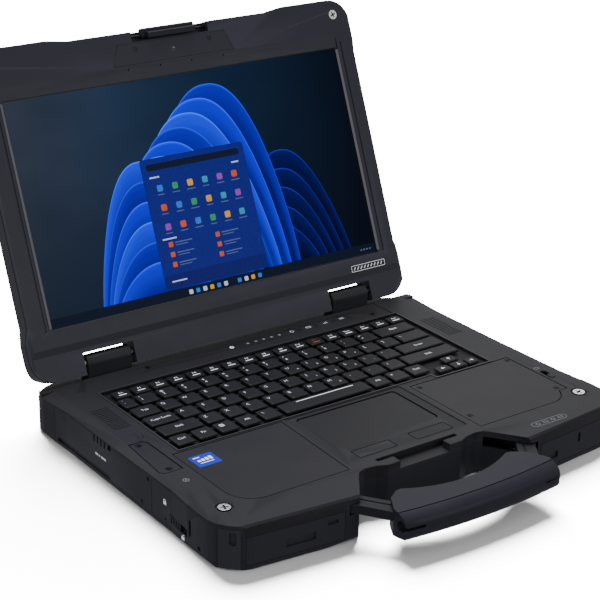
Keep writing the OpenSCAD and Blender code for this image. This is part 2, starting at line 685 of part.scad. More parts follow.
module handle_grip() color("#2a2b30") in_place() {
    bow = 500;
    end_x = grip_w / 2;
    difference() {
        intersection() {
            // gently bowed bar with a flat top and a seam along its front crease
            translate([0, front_y - 34 + bow, 0]) rotate_extrude($fn = 360) polygon([
                [bow - 37, 12.4], [bow - 9, 11.6], [bow + 8, 14.8], [bow + 9.6, 17.4], [bow + 9.6, 24.6],
                [bow + 8.6, 27.4], [bow + 6.6, 29.2], [bow + 1, 31.9], [bow + 0.8, 31.4], [bow + 0.3, 31.4],
                [bow + 0.3, 32.2], [bow - 37, 32.8]]);
            // plan of its tapered ends
            linear_extrude(60) polygon(mirrored([[46.5, front_y - 5.5], [51.5, front_y - 6],
                [end_x - 8, front_y - 12], [end_x - 0.7, front_y - 24.5], [end_x, front_y - 28],
                [end_x - 0.6, front_y - 60]]));
        }
        // finger scoop at the back
        translate([0, front_y - 17.5 + 98, 0]) cylinder(r = 98, h = 80, $fn = 180);
        // arm sockets, and the strap hole and its slit at each end
        handle_arm_space();
        both() bar_x(end_x - 8, end_x + 2, front_y - 33.4, 23, 4.1);
        block([-end_x - 2, front_y - 60, 21.9], [15 - end_x, front_y - 33, 24.1]);
        block([end_x - 15, front_y - 60, 21.9], [end_x - 3, front_y - 39, 24.1]);
    }
}

// Plan of one of the handle's arms: straight in its channel, then slanting in to the grip
module arm_plan() {
    polygon([[74, stop_y + 5], [84, stop_y + 5], [84, front_y + 2.5], [79.3, front_y - 2], [64, front_y - 25],
        [57, front_y - 27], [52, front_y - 17], [70, front_y + 8.5], [74, front_y + 14]]);
}

module handle_arm_space() {
    both() translate([0, 0, arm_z0]) linear_extrude(arm_z1 - arm_z0) arm_plan();
}

module handle_arms() color("#1e1f22") in_place() both() difference() {
    union() {
        translate([0, 0, arm_z0]) linear_extrude(arm_z1 - arm_z0) arm_plan();
        // stop tab
        block([67, stop_y + 4.5, arm_z0], [84, stop_y + 9, arm_z1]);
    }
    // groove along the slanting part
    translate([72.9, front_y + 4.6, arm_z1 - 1]) rotate([0, 0, -125.2]) cube([22, 1.6, 3]);
}

// Channels that the arms slide in, with the stop that ends their travel
module handle_guides() color("#1b1c1f") in_place() both() {
    block([72.4, front_y + 12.4, arm_z0 - 3], [87.5, stop_y, arm_z0 - 0.3]);
    block([84.3, front_y + 12.4, arm_z0 - 3], [87.5, stop_y, arm_z1]);
    block([66, stop_y, arm_z0 - 3], [73.5, stop_y + 4.2, arm_z1]);
    block([66, stop_y - 1, arm_z0 - 3], [87.5, stop_y + 4.2, arm_z0 - 0.3]);
    block([76, front_y + 14, foot_h + floor_t], [86, stop_y, arm_z0 - 2.9]);
}

// ---------- lid ----------

// Notches around the hinge posts, grown by g
module notches(g) {
    for (n = notch_xs) block([n[0] - g, lid_foot - 10, -30], [n[1] + g, notch_v + g, 30]);
}

// Recess of the latch in the lid's top edge, and the bore of its pin
module latch_recess() {
    block([-35.5, 234.6, -3.4], [35.5, 250, 10]);
    bar_x(-37, 37, latch_v, latch_w, 1);
}

lid_screw_spots = [[-160, 232.7], [160, 232.7]];
small_screw_spots = [[-34.7, 229], [34.7, 229]];

module lid_rear_shell() color("#26272b") in_place() in_lid() difference() {
    translate([0, 0, lid_back])
        linear_extrude(lid_split_w - gap / 2 - lid_back) polygon(mirrored(lid_half(0)));
    // hollow
    difference() {
        translate([0, 0, lid_back + wall]) linear_extrude(20) polygon(mirrored(lid_half(wall)));
        notches(wall);
        block([-38, 232, -20], [38, 250, 20]);
        for (p = lid_screw_spots) translate([p[0], p[1], -20]) cylinder(r = 4.6, h = 30);
    }
    notches(0);
    latch_recess();
    bar_x(-150, 150, 0, 0, shaft_r + 0.2);
    for (p = lid_screw_spots) translate([p[0], p[1], 5]) screw_hole(4, 1, 1.6, 9);
    // bevels of the rear face; the one at the foot clears the ledge
    profile_x([[lid_foot - 2, -7.9], [lid_foot - 2, lid_back - 2], [-1.6, lid_back - 2]], -200, 200);
    profile_x([[lid_corner_top + 2, lid_back + 3.5], [lid_corner_top + 2, lid_back - 2],
        [238, lid_back - 2]], -200, 200);
    both() translate([corner_x - 0.5, 0, lid_back]) rotate([0, 45, 0])
        translate([-3.6, -20, -3.6]) cube([7.2, 280, 7.2]);
}

module lid_bezel() color("#2a2b2f") in_place() in_lid() difference() {
    translate([0, 0, lid_split_w + gap / 2]) linear_extrude(bezel_w - lid_split_w - gap / 2)
        polygon(mirrored(lid_half(0.3)));
    notches(0);
    latch_recess();
    bar_x(-150, 150, 0, 0, shaft_r + 0.2);
    // window over the picture, with a long slope above it, and the seat of the glass
    block([-screen_w / 2 - 0.8, screen_v - 0.8, 0], [screen_w / 2 + 0.8, screen_v + screen_h + 0.8, 10]);
    block([-160, 25, 0], [160, 210, glass_w + 0.05]);
    profile_x([[screen_v + screen_h - 2, glass_w + 0.4], [216.5, bezel_w + 0.1], [216.5, 12],
        [screen_v + screen_h - 2, 12]], -screen_w / 2 - 3, screen_w / 2 + 3);
    both() translate([0, screen_v + screen_h + 2, 0]) rotate([90, 0, 0]) linear_extrude(screen_h + 1)
        polygon([[screen_w / 2 - 2, glass_w + 0.9], [screen_w / 2 + 0.5, glass_w + 0.9],
            [screen_w / 2 + 4.4, bezel_w + 0.1], [screen_w / 2 + 4.4, 12], [screen_w / 2 - 2, 12]]);
    // the foot is set back
    profile_x([[lid_foot - 2, 5.5], [12, 5.5], [17.4, bezel_w + 0.01], [17.4, 12], [lid_foot - 2, 12]],
        -200, 200);
    // shallow groove beside the window
    both() block([160.4, 30, bezel_w - 0.7], [162, 210, 12]);
    // seats of the camera cover, the badge and the screws
    translate([0, 0, 5.4]) linear_extrude(5)
        polygon([[-56.7, 217.2], [56.7, 217.2], [49.8, 233.8], [-49.8, 233.8]]);
    for (p = lid_screw_spots) translate([p[0], p[1], 5]) screw_hole(4, 1, 1.6, 9);
    for (x = [-43.8, -14.5, 14.6, 44.6]) translate([x, 213.8, 2]) cylinder(r = 0.7, h = 8);
    both() translate([corner_x - 0.8, 0, bezel_w]) rotate([0, 45, 0])
        translate([-2, -20, -2]) cube([4, 280, 4]);
}

module display_glass() color("#0b0c10") in_place() in_lid()
    plate([-159.8, 25.2, 3.2], [159.8, 209.8, glass_w], 1);

module display_module() color("#3a3c40") in_place() in_lid()
    block([-158, 26, -9.6], [158, 209, 3.1]);

module camera_cover() color("#26272b") in_place() in_lid() difference() {
    translate([0, 0, 5.4]) linear_extrude(1.2)
        polygon([[-56.5, 217.4], [56.5, 217.4], [49.6, 233.6], [-49.6, 233.6]]);
    translate([0, 225.5, 5]) cylinder(r = 2.6, h = 5);
    for (p = small_screw_spots) translate([p[0], p[1], 5.9]) screw_hole(1.8, 1, 0.9, 1);
}

module camera_lens() color("#101114") in_place() in_lid() translate([0, 225.5, 5.4]) difference() {
    cylinder(r = 2.5, h = 1);
    translate([0, 0, 0.7]) cylinder(r = 1.4, h = 1);
}

module lid_screws() color("#c9cbce") in_place() in_lid() {
    for (p = lid_screw_spots) translate([p[0], p[1], 5]) screw(3.9, 1.2, 1.6, 9);
    for (p = small_screw_spots) translate([p[0], p[1], 5.9]) screw(1.7, 0.6, 0.9, 0.5);
}

// Plain plate with a raised rim, right of centre under the picture
module lid_badge() color("#d8dadd") in_place() in_lid() difference() {
    plate([124.4, 17.7, bezel_w], [160, 23.3, bezel_w + 0.4], 1);
    plate([125.2, 18.5, bezel_w + 0.2], [159.2, 22.5, bezel_w + 1], 0.8);
}

// Latch bar: a thumb ridge on top and a hook that drops into the deck's slot
module lid_latch() color("#1d1e21") in_place() in_lid() difference() {
    union() {
        bar_x(-24.5, 24.5, latch_v, latch_w, 2.8);
        profile_x([[latch_v - 1.8, latch_w], [latch_v + 1.8, latch_w], [latch_v + 1.8, 8.6],
            [latch_v + 0.8, 9.6], [latch_v - 2.8, 9.6], [latch_v - 3.4, 8.4], [latch_v - 1.8, 7.2]], -21.6, 21.6);
        profile_x([[latch_v, latch_w - 2.6], [latch_v + 5, latch_w - 1.6], [latch_v + 5.8, latch_w + 0.6],
            [latch_v + 4.6, latch_w + 2.4], [latch_v, latch_w + 2.6]], -24.5, 24.5);
    }
    bar_x(-30, 30, latch_v, latch_w, 1.05);
}

module latch_pin() color("#b9bbbe") in_place() in_lid() bar_x(-36.8, 36.8, latch_v, latch_w, 1);

bottom_case();
top_cover();
front_left_corner_guard();
front_right_corner_guard();
front_left_panel();
front_right_panel();
expansion_module();
battery_pack();
battery_latch();
right_port_door();
rear_port_covers();
keyboard_tray();
function_keys();
number_keys();
upper_letter_keys();
home_row_keys();
lower_letter_keys();
bottom_row_keys();
space_bar();
arrow_keys();
touchpad();
touchpad_left_button();
touchpad_right_button();
palm_rest_cover();
palm_rest_inlay();
side_cover();
deck_screws();
corner_screws();
shortcut_button_1();
shortcut_button_2();
shortcut_button_3();
shortcut_button_4();
power_switch();
status_lights();
speakers();
mainboard();
heat_sink();
fan_rotor();
storage_drive();
rubber_feet();
bottom_screws();
left_hinge_post();
right_hinge_post();
handle_guides();
handle_grip();
handle_arms();
lid_rear_shell();
lid_bezel();
display_glass();
display_module();
camera_cover();
camera_lens();
lid_screws();
lid_badge();
left_hinge_arm();
right_hinge_arm();
lid_latch();
latch_pin();
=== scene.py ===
import json
import math
import bpy
import bmesh
from mathutils import Matrix, Vector


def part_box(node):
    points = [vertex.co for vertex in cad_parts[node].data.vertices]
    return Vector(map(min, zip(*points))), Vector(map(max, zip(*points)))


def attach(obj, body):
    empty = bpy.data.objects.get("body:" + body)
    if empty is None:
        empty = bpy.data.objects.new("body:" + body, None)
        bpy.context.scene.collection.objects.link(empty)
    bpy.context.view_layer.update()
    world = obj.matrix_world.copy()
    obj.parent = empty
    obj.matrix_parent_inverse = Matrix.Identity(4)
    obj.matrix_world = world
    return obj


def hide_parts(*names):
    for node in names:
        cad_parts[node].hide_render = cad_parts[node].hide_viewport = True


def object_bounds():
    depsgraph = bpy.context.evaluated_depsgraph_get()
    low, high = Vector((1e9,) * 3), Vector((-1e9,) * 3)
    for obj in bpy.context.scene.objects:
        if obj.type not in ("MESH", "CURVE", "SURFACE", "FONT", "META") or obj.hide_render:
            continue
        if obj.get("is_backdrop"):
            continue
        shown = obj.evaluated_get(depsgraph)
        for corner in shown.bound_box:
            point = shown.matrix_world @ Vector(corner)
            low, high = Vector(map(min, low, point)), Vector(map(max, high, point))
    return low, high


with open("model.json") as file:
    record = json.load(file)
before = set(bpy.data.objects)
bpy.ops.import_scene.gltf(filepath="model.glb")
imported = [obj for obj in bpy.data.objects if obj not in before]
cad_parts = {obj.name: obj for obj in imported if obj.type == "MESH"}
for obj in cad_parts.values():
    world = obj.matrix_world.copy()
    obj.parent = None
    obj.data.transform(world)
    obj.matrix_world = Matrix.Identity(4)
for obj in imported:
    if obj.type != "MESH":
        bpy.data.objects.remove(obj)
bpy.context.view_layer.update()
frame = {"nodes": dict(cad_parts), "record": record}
record = frame["record"]
MM = 0.001                                      # the frame is in metres, the sizes below in millimetres
TOUCH = 0.000005                                # corners nearer than this are one corner

# ---------------------------------------------------------------- places in the frame

case_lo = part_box("bottom_case")[0]
FLANK = 176.0                                   # from the middle to the straight part of a flank
FRONT = 143.0                                   # from the point the base is measured from to its front edge
BASE_Y = case_lo[1] + FRONT * MM
BEAD = 0.4                                      # the bead round the keyboard well stands above the deck
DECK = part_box("top_cover")[1][2] - BEAD * MM    # deck height
JOINTS = {j["name"]: j for j in record["behaviour"]["joints"]}
HINGE = Vector(JOINTS["lid_hinge"]["pos_m"])
OPEN = math.radians(-JOINTS["lid_hinge"]["range_deg"][0])
IN_MM = Matrix.Diagonal((MM, MM, MM, 1))


def at(x, y, z):
    """Point by its millimetres right of, behind and above the point the base is measured from."""
    return Vector((x * MM, BASE_Y + y * MM, z * MM))


def on_lid(x, v, w):
    """Point by its millimetres right of the middle, up the lid from the hinge axis and towards the user."""
    a = math.pi - OPEN
    return Vector((x * MM, HINGE.y + (v * math.cos(a) - w * math.sin(a)) * MM,
                   HINGE.z + (v * math.sin(a) + w * math.cos(a)) * MM))


def deck_frame(x, y, z):
    """Matrix whose local X, Y and Z are right, away and up, in millimetres, with its origin on the base."""
    return Matrix.Translation(at(x, y, z)) @ IN_MM


def lid_frame(x, v, w):
    """The same on the lid's face: local X is right, Y up the lid and Z towards the user."""
    return Matrix.Translation(on_lid(x, v, w)) @ Matrix.Rotation(math.pi - OPEN, 4, "X") @ IN_MM


def left_frame(y, z, out):
    """The same on the left flank, `out` outside its straight part: local X runs right as seen from outside."""
    turn = Matrix.Rotation(-math.pi / 2, 4, "Z") @ Matrix.Rotation(math.pi / 2, 4, "X")
    return Matrix.Translation(at(-FLANK - out, y, z)) @ turn @ IN_MM


# ---------------------------------------------------------------- materials

GRAIN_DEPTH = 0.06 * MM
CLOUD_SCALE = 28.0                               # of the cloudy tone; the grain's own scale comes with each material
EDGE_FROM, EDGE_FULL = 0.56, 0.63                # pointiness where an edge starts to look rubbed, and is so fully


def nodes_of(mat):
    """Nodes and links of a material."""
    mat.use_nodes = True
    return mat.node_tree.nodes, mat.node_tree.links


def noise(nodes, links, coord, scale, detail=3.0, rough=0.5):
    """Cloudy value between 0 and 1."""
    n = nodes.new("ShaderNodeTexNoise")
    n.inputs["Scale"].default_value = scale
    n.inputs["Detail"].default_value = detail
    n.inputs["Roughness"].default_value = rough
    links.new(coord, n.inputs["Vector"])
    return n.outputs["Fac"]


def remap(nodes, links, value, lo, hi, out_lo, out_hi):
    """Stretches a value from one range to another and holds it there."""
    n = nodes.new("ShaderNodeMapRange")
    n.inputs["From Min"].default_value = lo
    n.inputs["From Max"].default_value = hi
    n.inputs["To Min"].default_value = out_lo
    n.inputs["To Max"].default_value = out_hi
    links.new(value, n.inputs["Value"])
    return n.outputs["Result"]


def mix(nodes, links, fac, a, b, blend="MIX"):
    """Mixes two colours, each a socket or a plain colour."""
    n = nodes.new("ShaderNodeMix")
    n.data_type = "RGBA"
    n.blend_type = blend
    if isinstance(fac, float):
        n.inputs["Factor"].default_value = fac
    else:
        links.new(fac, n.inputs["Factor"])
    for socket, v in (("A", a), ("B", b)):
        s = [i for i in n.inputs if i.name == socket and i.type == "RGBA"][0]
        if isinstance(v, tuple):
            s.default_value = (*v, 1)
        else:
            links.new(v, s)
    return [o for o in n.outputs if o.type == "RGBA"][0]


def surface(name, color, rough, metal=0.0, vary=0.09, grain=1500.0, bump=0.25, wear=0.35, spread=0.04,
            coat=0.0, spec=0.12, brushed=False):
    """Moulded, painted or metal surface: cloudy colour, moulded grain, rubbed edges and uneven gloss."""
    mat = bpy.data.materials.new(name)
    nodes, links = nodes_of(mat)
    shader = nodes["Principled BSDF"]
    coord = nodes.new("ShaderNodeTexCoord").outputs["Object"]
    cloud = noise(nodes, links, coord, CLOUD_SCALE, 5.0, 0.6)
    fine = noise(nodes, links, coord, grain, 2.0, 0.6)
    if brushed:
        mapping = nodes.new("ShaderNodeMapping")
        mapping.inputs["Scale"].default_value = (0.03, 1.0, 1.0)
        links.new(coord, mapping.inputs["Vector"])
        fine = noise(nodes, links, mapping.outputs["Vector"], grain, 3.0, 0.7)
    dark = tuple(c * (1 - vary) for c in color)
    light = tuple(min(1.0, c * (1 + vary)) for c in color)
    tone = mix(nodes, links, remap(nodes, links, cloud, 0.3, 0.7, 0.0, 1.0), dark, light)
    speck = remap(nodes, links, fine, 0.35, 0.7, 0.0, 0.5)
    tone = mix(nodes, links, speck, tone, tuple(min(1.0, c * (1 + 2.2 * vary)) for c in color))
    edge = nodes.new("ShaderNodeNewGeometry").outputs["Pointiness"]
    edge_mark = remap(nodes, links, edge, EDGE_FROM, EDGE_FULL, 0.0, wear)
    worn = tuple(min(1.0, c * 2.4 + 0.002) for c in color)
    links.new(mix(nodes, links, edge_mark, tone, worn), shader.inputs["Base Color"])
    links.new(remap(nodes, links, cloud, 0.3, 0.7, rough - spread, rough + spread), shader.inputs["Roughness"])
    relief = nodes.new("ShaderNodeBump")
    relief.inputs["Strength"].default_value = bump
    relief.inputs["Distance"].default_value = GRAIN_DEPTH
    links.new(fine, relief.inputs["Height"])
    links.new(relief.outputs["Normal"], shader.inputs["Normal"])
    shader.inputs["Metallic"].default_value = metal
    shader.inputs["Coat Weight"].default_value = coat
    shader.inputs["Coat Roughness"].default_value = 0.2
    shader.inputs["Specular IOR Level"].default_value = spec
    return mat


def glow(name, color, strength, rough=0.4, vary=0.1):
    """Lit ink or lamp: its light varies slightly over the surface."""
    mat = bpy.data.materials.new(name)
    nodes, links = nodes_of(mat)
    shader = nodes["Principled BSDF"]
    coord = nodes.new("ShaderNodeTexCoord").outputs["Object"]
    cloud = noise(nodes, links, coord, 420.0, 2.0)
    dark = tuple(c * (1 - vary) for c in color)
    light = tuple(min(1.0, c * (1 + vary)) for c in color)
    tone = mix(nodes, links, cloud, dark, light)
    links.new(tone, shader.inputs["Base Color"])
    links.new(tone, shader.inputs["Emission Color"])
    shader.inputs["Emission Strength"].default_value = strength
    shader.inputs["Roughness"].default_value = rough
    shader.inputs["Specular IOR Level"].default_value = 0.05
    return mat


M = {
    "case": surface("case_plastic", (0.0150, 0.0150, 0.0205), 0.5, grain=1300, bump=0.3, wear=0.0, spec=0.11),
    "shell": surface("lid_plastic", (0.0205, 0.0205, 0.0310), 0.5, grain=1300, bump=0.3, wear=0.0, spec=0.22),
    # painted light: the hinge posts are the case's plastic made lighter, standing in for light falling on them
    "post": surface("case_plastic_lightened_for_posts", (0.0190, 0.0190, 0.0230), 0.5, grain=1300, bump=0.3, spec=0.16),
    "deck": surface("deck_coat", (0.0132, 0.0132, 0.0152), 0.5, grain=1700, bump=0.22, wear=0.3, spec=0.10),
    "cover": surface("cover_plastic", (0.0162, 0.0162, 0.0182), 0.46, grain=2100, bump=0.16, vary=0.08, spec=0.11),
    "panel": surface("panel_plastic", (0.0185, 0.0185, 0.0250), 0.48, grain=1600, bump=0.22, spec=0.11),
    "guard": surface("guard_elastomer", (0.0250, 0.0250, 0.0320), 0.6, grain=1100, bump=0.4, wear=0.2, spec=0.12),
    "bezel": surface("bezel_coat", (0.0190, 0.0190, 0.0300), 0.47, grain=1500, bump=0.22, spec=0.22),
    "key": surface("key_plastic", (0.0125, 0.0125, 0.0142), 0.46, grain=2600, bump=0.14, wear=0.2, vary=0.15,
                   spec=0.10),
    "well": surface("well_plastic", (0.0100, 0.0100, 0.0114), 0.55, grain=1500, bump=0.2, wear=0.1, spec=0.08),
    "handle": surface("handle_resin", (0.0142, 0.0142, 0.0210), 0.46, grain=1400, bump=0.24, wear=0.4, spec=0.11),
    "strap": surface("strap_resin", (0.0145, 0.0145, 0.0190), 0.5, grain=1200, bump=0.3, spec=0.10),
    "pad": surface("pad_film", (0.0148, 0.0148, 0.0168), 0.5, grain=3000, bump=0.12, vary=0.06, spec=0.10),
    "screw": surface("plated_steel", (0.85, 0.85, 0.84), 0.26, metal=1.0, grain=900, bump=0.1, vary=0.06, wear=0.2),
    "lid_screw": surface("lid_screw_steel", (0.85, 0.85, 0.84), 0.26, metal=1.0, grain=900, bump=0.1, vary=0.06,
                         wear=0.2),
    # painted highlight: pale colour of the line along the keyboard well's bead, where its rim catches the light
    "rubbed": surface("bead_painted_highlight", (0.036, 0.036, 0.040), 0.42, grain=2200, bump=0.1, wear=0.1, spec=0.2),
    "black_screw": surface("black_steel", (0.0060, 0.0060, 0.0072), 0.35, grain=1500, bump=0.15),
    "shaft": surface("brushed_shaft", (0.55, 0.55, 0.56), 0.3, metal=1.0, grain=2500, bump=0.2, vary=0.06,
                     brushed=True),
    "aluminium": surface("bare_aluminium", (0.55, 0.56, 0.58), 0.35, metal=1.0, grain=1800, bump=0.2, brushed=True),
    "board": surface("circuit_board", (0.02, 0.12, 0.06), 0.4, grain=700, bump=0.5, vary=0.3, coat=0.4),
    "foot": surface("foot_rubber", (0.012, 0.012, 0.012), 0.75, grain=900, bump=0.5, wear=0.1),
    "glass": surface("screen_glass", (0.0030, 0.0030, 0.0042), 0.28, grain=3500, bump=0.04, vary=0.2, wear=0.0,
                     spread=0.03, coat=0.15),
    # painted highlight: pale colour standing in for light caught by the bezel's inner slopes beside the display
    "slope_sheen": surface("bezel_slope_painted_highlight", (0.085, 0.085, 0.105), 0.45, grain=1500, bump=0.1, vary=0.1, wear=0.1,
                      spec=0.3),
    "lens": surface("lens_glass", (0.004, 0.004, 0.008), 0.08, grain=900, bump=0.0, vary=0.2, wear=0.0,
                    spread=0.02, coat=1.0),
    "light": surface("light_guide", (0.22, 0.225, 0.24), 0.3, grain=1500, bump=0.1, coat=0.4),
    "ink": surface("printed_ink", (0.86, 0.86, 0.90), 0.55, grain=2500, bump=0.05, vary=0.08, wear=0.0),
    "dim_ink": surface("faded_ink", (0.16, 0.165, 0.18), 0.55, grain=2500, bump=0.05, vary=0.1, wear=0.0),
    "letter_ink": surface("letter_ink", (0.60, 0.60, 0.63), 0.55, grain=2500, bump=0.05, vary=0.15, wear=0.0),
    "orange_ink": surface("orange_ink", (0.25, 0.09, 0.05), 0.55, grain=2500, bump=0.05, vary=0.1, wear=0.0),
    "sticker": surface("sticker_film", (0.012, 0.03, 0.42), 0.4, grain=900, bump=0.05, vary=0.1, wear=0.0, coat=0.1),
    "lit_ink": glow("lit_ink", (0.5, 0.52, 0.56), 0.3),
    "lamp": glow("power_lamp", (0.75, 0.9, 1.0), 0.9),
}


def tint(mat, color, axis, low, high, folded=False):
    """Mixes a colour in where points of the object lie below `low` along `axis`, fading out at `high`."""
    nodes, links = nodes_of(mat)
    base = nodes["Principled BSDF"].inputs["Base Color"]
    along = nodes.new("ShaderNodeVectorMath")
    along.operation = "DOT_PRODUCT"
    along.inputs[1].default_value = axis
    links.new(nodes.new("ShaderNodeTexCoord").outputs["Object"], along.inputs[0])
    value = along.outputs["Value"]
    if folded:
        size = nodes.new("ShaderNodeMath")
        size.operation = "ABSOLUTE"
        links.new(value, size.inputs[0])
        value = size.outputs[0]
    share = remap(nodes, links, value, low, high, 1.0, 0.0)
    links.new(mix(nodes, links, share, base.links[0].from_socket, color), base)


# Painted shade: the screws' cross recesses, below their heads' tops, are darkened as if in shadow; the two small
# screws beside the camera are dark all over
LID_OUT = (on_lid(0, 0, 1) - on_lid(0, 0, 0)).normalized()
RECESS_SHADE = (0.03, 0.03, 0.032)
CROSS_DEEP, CROSS_SHALLOW = 0.00045, 0.00015
NEAR_CAMERA, OFF_CAMERA = 0.065, 0.07
deck_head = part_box("corner_screws")[1][2]
lid_head = max(v.co.dot(LID_OUT) for v in frame["nodes"]["lid_screws"].data.vertices if abs(v.co.x) > OFF_CAMERA)
tint(M["screw"], RECESS_SHADE, (0, 0, 1), deck_head - CROSS_DEEP, deck_head - CROSS_SHALLOW)
tint(M["lid_screw"], RECESS_SHADE, LID_OUT, lid_head - CROSS_DEEP, lid_head - CROSS_SHALLOW)
tint(M["lid_screw"], (0.03, 0.03, 0.035), (1, 0, 0), NEAR_CAMERA, OFF_CAMERA, folded=True)

LOOKS = {
    "case": ["bottom_case"],
    "post": ["left_hinge_post", "right_hinge_post"],
    "shell": ["lid_rear_shell"],
    "deck": ["top_cover"],
    "bezel": ["lid_bezel", "camera_cover"],
    "cover": ["palm_rest_cover", "palm_rest_inlay", "side_cover"],
    "panel": ["front_left_panel", "front_right_panel", "expansion_module", "battery_pack", "right_port_door",
              "rear_port_covers", "shortcut_button_1", "shortcut_button_2", "shortcut_button_3",
              "shortcut_button_4", "lid_badge"],
    "guard": ["front_left_corner_guard", "front_right_corner_guard"],
    "key": ["function_keys", "number_keys", "upper_letter_keys", "home_row_keys", "lower_letter_keys",
            "bottom_row_keys", "space_bar", "arrow_keys", "battery_latch", "power_switch"],
    "well": ["keyboard_tray", "speakers", "fan_rotor"],
    "pad": ["touchpad", "touchpad_left_button", "touchpad_right_button"],
    "handle": ["handle_grip", "lid_latch"],
    "strap": ["handle_arms"],
    "screw": ["corner_screws"],
    "lid_screw": ["lid_screws"],
    "black_screw": ["deck_screws", "bottom_screws", "latch_pin"],
    "shaft": ["left_hinge_arm", "right_hinge_arm", "handle_guides"],
    "aluminium": ["heat_sink", "storage_drive", "display_module"],
    "board": ["mainboard"],
    "foot": ["rubber_feet"],
    "glass": ["display_glass"],
    "lens": ["camera_lens"],
    "light": ["status_lights"],
}

# Rounding of the edges, in millimetres, and where it isn't the usual one
USUAL_ROUNDING = 0.3
ROUNDING = {"handle_grip": 1.5, "handle_arms": 0.7, "lid_rear_shell": 0.9, "lid_bezel": 0.6, "top_cover": 0.45,
            "bottom_case": 0.6, "left_hinge_post": 0.8, "right_hinge_post": 0.8, "lid_latch": 0.8,
            "front_left_corner_guard": 0.5, "front_right_corner_guard": 0.5, "rubber_feet": 0.25,
            "palm_rest_inlay": 0.1, "status_lights": 0.1, "lid_badge": 0.08, "latch_pin": 0.1, "camera_lens": 0.08,
            "deck_screws": 0.08, "bottom_screws": 0.1, "touchpad": 0.15, "mainboard": 0.1}

for look, names in LOOKS.items():
    for name in names:
        obj = frame["nodes"][name]
        obj.data.materials.clear()
        obj.data.materials.append(M[look])
        weld = obj.modifiers.new("join", "WELD")
        weld.merge_threshold = TOUCH
        flat = obj.modifiers.new("facets", "DECIMATE")
        flat.decimate_type = "DISSOLVE"
        flat.angle_limit = math.radians(1.0)
        bevel = obj.modifiers.new("rounding", "BEVEL")
        width = ROUNDING.get(name, USUAL_ROUNDING)
        bevel.width = width * MM
        bevel.segments = 3 if width > 0.5 else 2
        bevel.limit_method = "ANGLE"
        bevel.angle_limit = math.radians(32)
        bevel.use_clamp_overlap = True
        bevel.harden_normals = True


# ---------------------------------------------------------------- mesh tools

def new_piece(name, verts, faces, mat, body, smooth=True, uvs=None):
    """Makes a visible piece that rides on a body."""
    mesh = bpy.data.meshes.new(name)
    mesh.from_pydata([tuple(v) for v in verts], [], faces)
    mesh.validate()
    if uvs is not None:
        layer = mesh.uv_layers.new(name="UVMap")
        for loop in mesh.loops:
            layer.data[loop.index].uv = uvs[loop.vertex_index]
    obj = bpy.data.objects.new(name, mesh)
    bpy.context.scene.collection.objects.link(obj)
    mesh.materials.append(mat)
    if smooth:
        for p in mesh.polygons:
            p.use_smooth = True
    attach(obj, body)
    return obj


class Build:
    """Collects vertices and faces of one piece."""

    def __init__(self):
        self.verts, self.faces = [], []

    def add(self, verts, faces, matrix=None):
        """Adds vertices, placed by the matrix if there is one, and the faces between them."""
        k = len(self.verts)
        self.verts += [(matrix @ Vector(v)) if matrix else Vector(v) for v in verts]
        self.faces += [tuple(i + k for i in f) for f in faces]

    def loft(self, rings, matrix=None, cap_low=True, cap_high=True):
        """Skin through rings of points, closed at its ends unless told otherwise."""
        n = len(rings[0])
        verts = [p for r in rings for p in r]
        faces = []
        for j in range(len(rings) - 1):
            for i in range(n):
                a, b = j * n + i, j * n + (i + 1) % n
                faces.append((a, b, b + n, a + n))
        if cap_low:
            faces.append(tuple(reversed(range(n))))
        if cap_high:
            faces.append(tuple(range((len(rings) - 1) * n, len(rings) * n)))
        self.add(verts, faces, matrix)


def rounded(cx, cy, w, d, r, z, n=4):
    """Ring of points round a rectangle with rounded corners."""
    r = min(r, w / 2 - 0.01, d / 2 - 0.01)
    pts = []
    for sx, sy, a0 in ((1, -1, -90), (1, 1, 0), (-1, 1, 90), (-1, -1, 180)):
        for i in range(n + 1):
            a = math.radians(a0 + 90 * i / n)
            pts.append((cx + sx * (w / 2 - r) + r * math.cos(a), cy + sy * (d / 2 - r) + r * math.sin(a), z))
    return pts


def tablet(b, cx, cy, w, d, r, z0, z1, matrix):
    """Flat plate with rounded corners."""
    b.loft([rounded(cx, cy, w, d, r, z0), rounded(cx, cy, w, d, r, z1)], matrix)


def outline(b, cx, cy, w, d, r, t, z0, z1, matrix):
    """Raised line of width t round a rounded rectangle."""
    outer0, outer1 = rounded(cx, cy, w, d, r, z0), rounded(cx, cy, w, d, r, z1)
    inner0 = rounded(cx, cy, w - 2 * t, d - 2 * t, max(r - t, 0.05), z0)
    inner1 = rounded(cx, cy, w - 2 * t, d - 2 * t, max(r - t, 0.05), z1)
    b.loft([outer0, outer1, inner1, inner0, outer0], matrix, False, False)


def ring(b, cx, cy, r, t, z0, z1, matrix, a0=0.0, a1=360.0):
    """Raised arc of radius r and width t."""
    n = 28
    whole = a1 - a0 >= 360
    verts, faces = [], []
    steps = n if whole else n + 1
    for i in range(steps):
        a = math.radians(a0 + (a1 - a0) * i / n)
        for rr, z in ((r - t / 2, z0), (r - t / 2, z1), (r + t / 2, z1), (r + t / 2, z0)):
            verts.append((cx + rr * math.cos(a), cy + rr * math.sin(a), z))
    for i in range(n):
        p, q = i * 4, ((i + 1) % steps) * 4
        for k in range(4):
            faces.append((p + k, p + (k + 1) % 4, q + (k + 1) % 4, q + k))
    b.add(verts, faces, matrix)


def bar(b, x0, y0, x1, y1, t, z0, z1, matrix):
    """Raised stroke of width t from one point to another."""
    d = Vector((x1 - x0, y1 - y0))
    s = Vector((-d.y, d.x)).normalized() * t / 2
    pts = [(x0 - s.x, y0 - s.y), (x1 - s.x, y1 - s.y), (x1 + s.x, y1 + s.y), (x0 + s.x, y0 + s.y)]
    b.loft([[(x, y, z0) for x, y in pts], [(x, y, z1) for x, y in pts]], matrix)


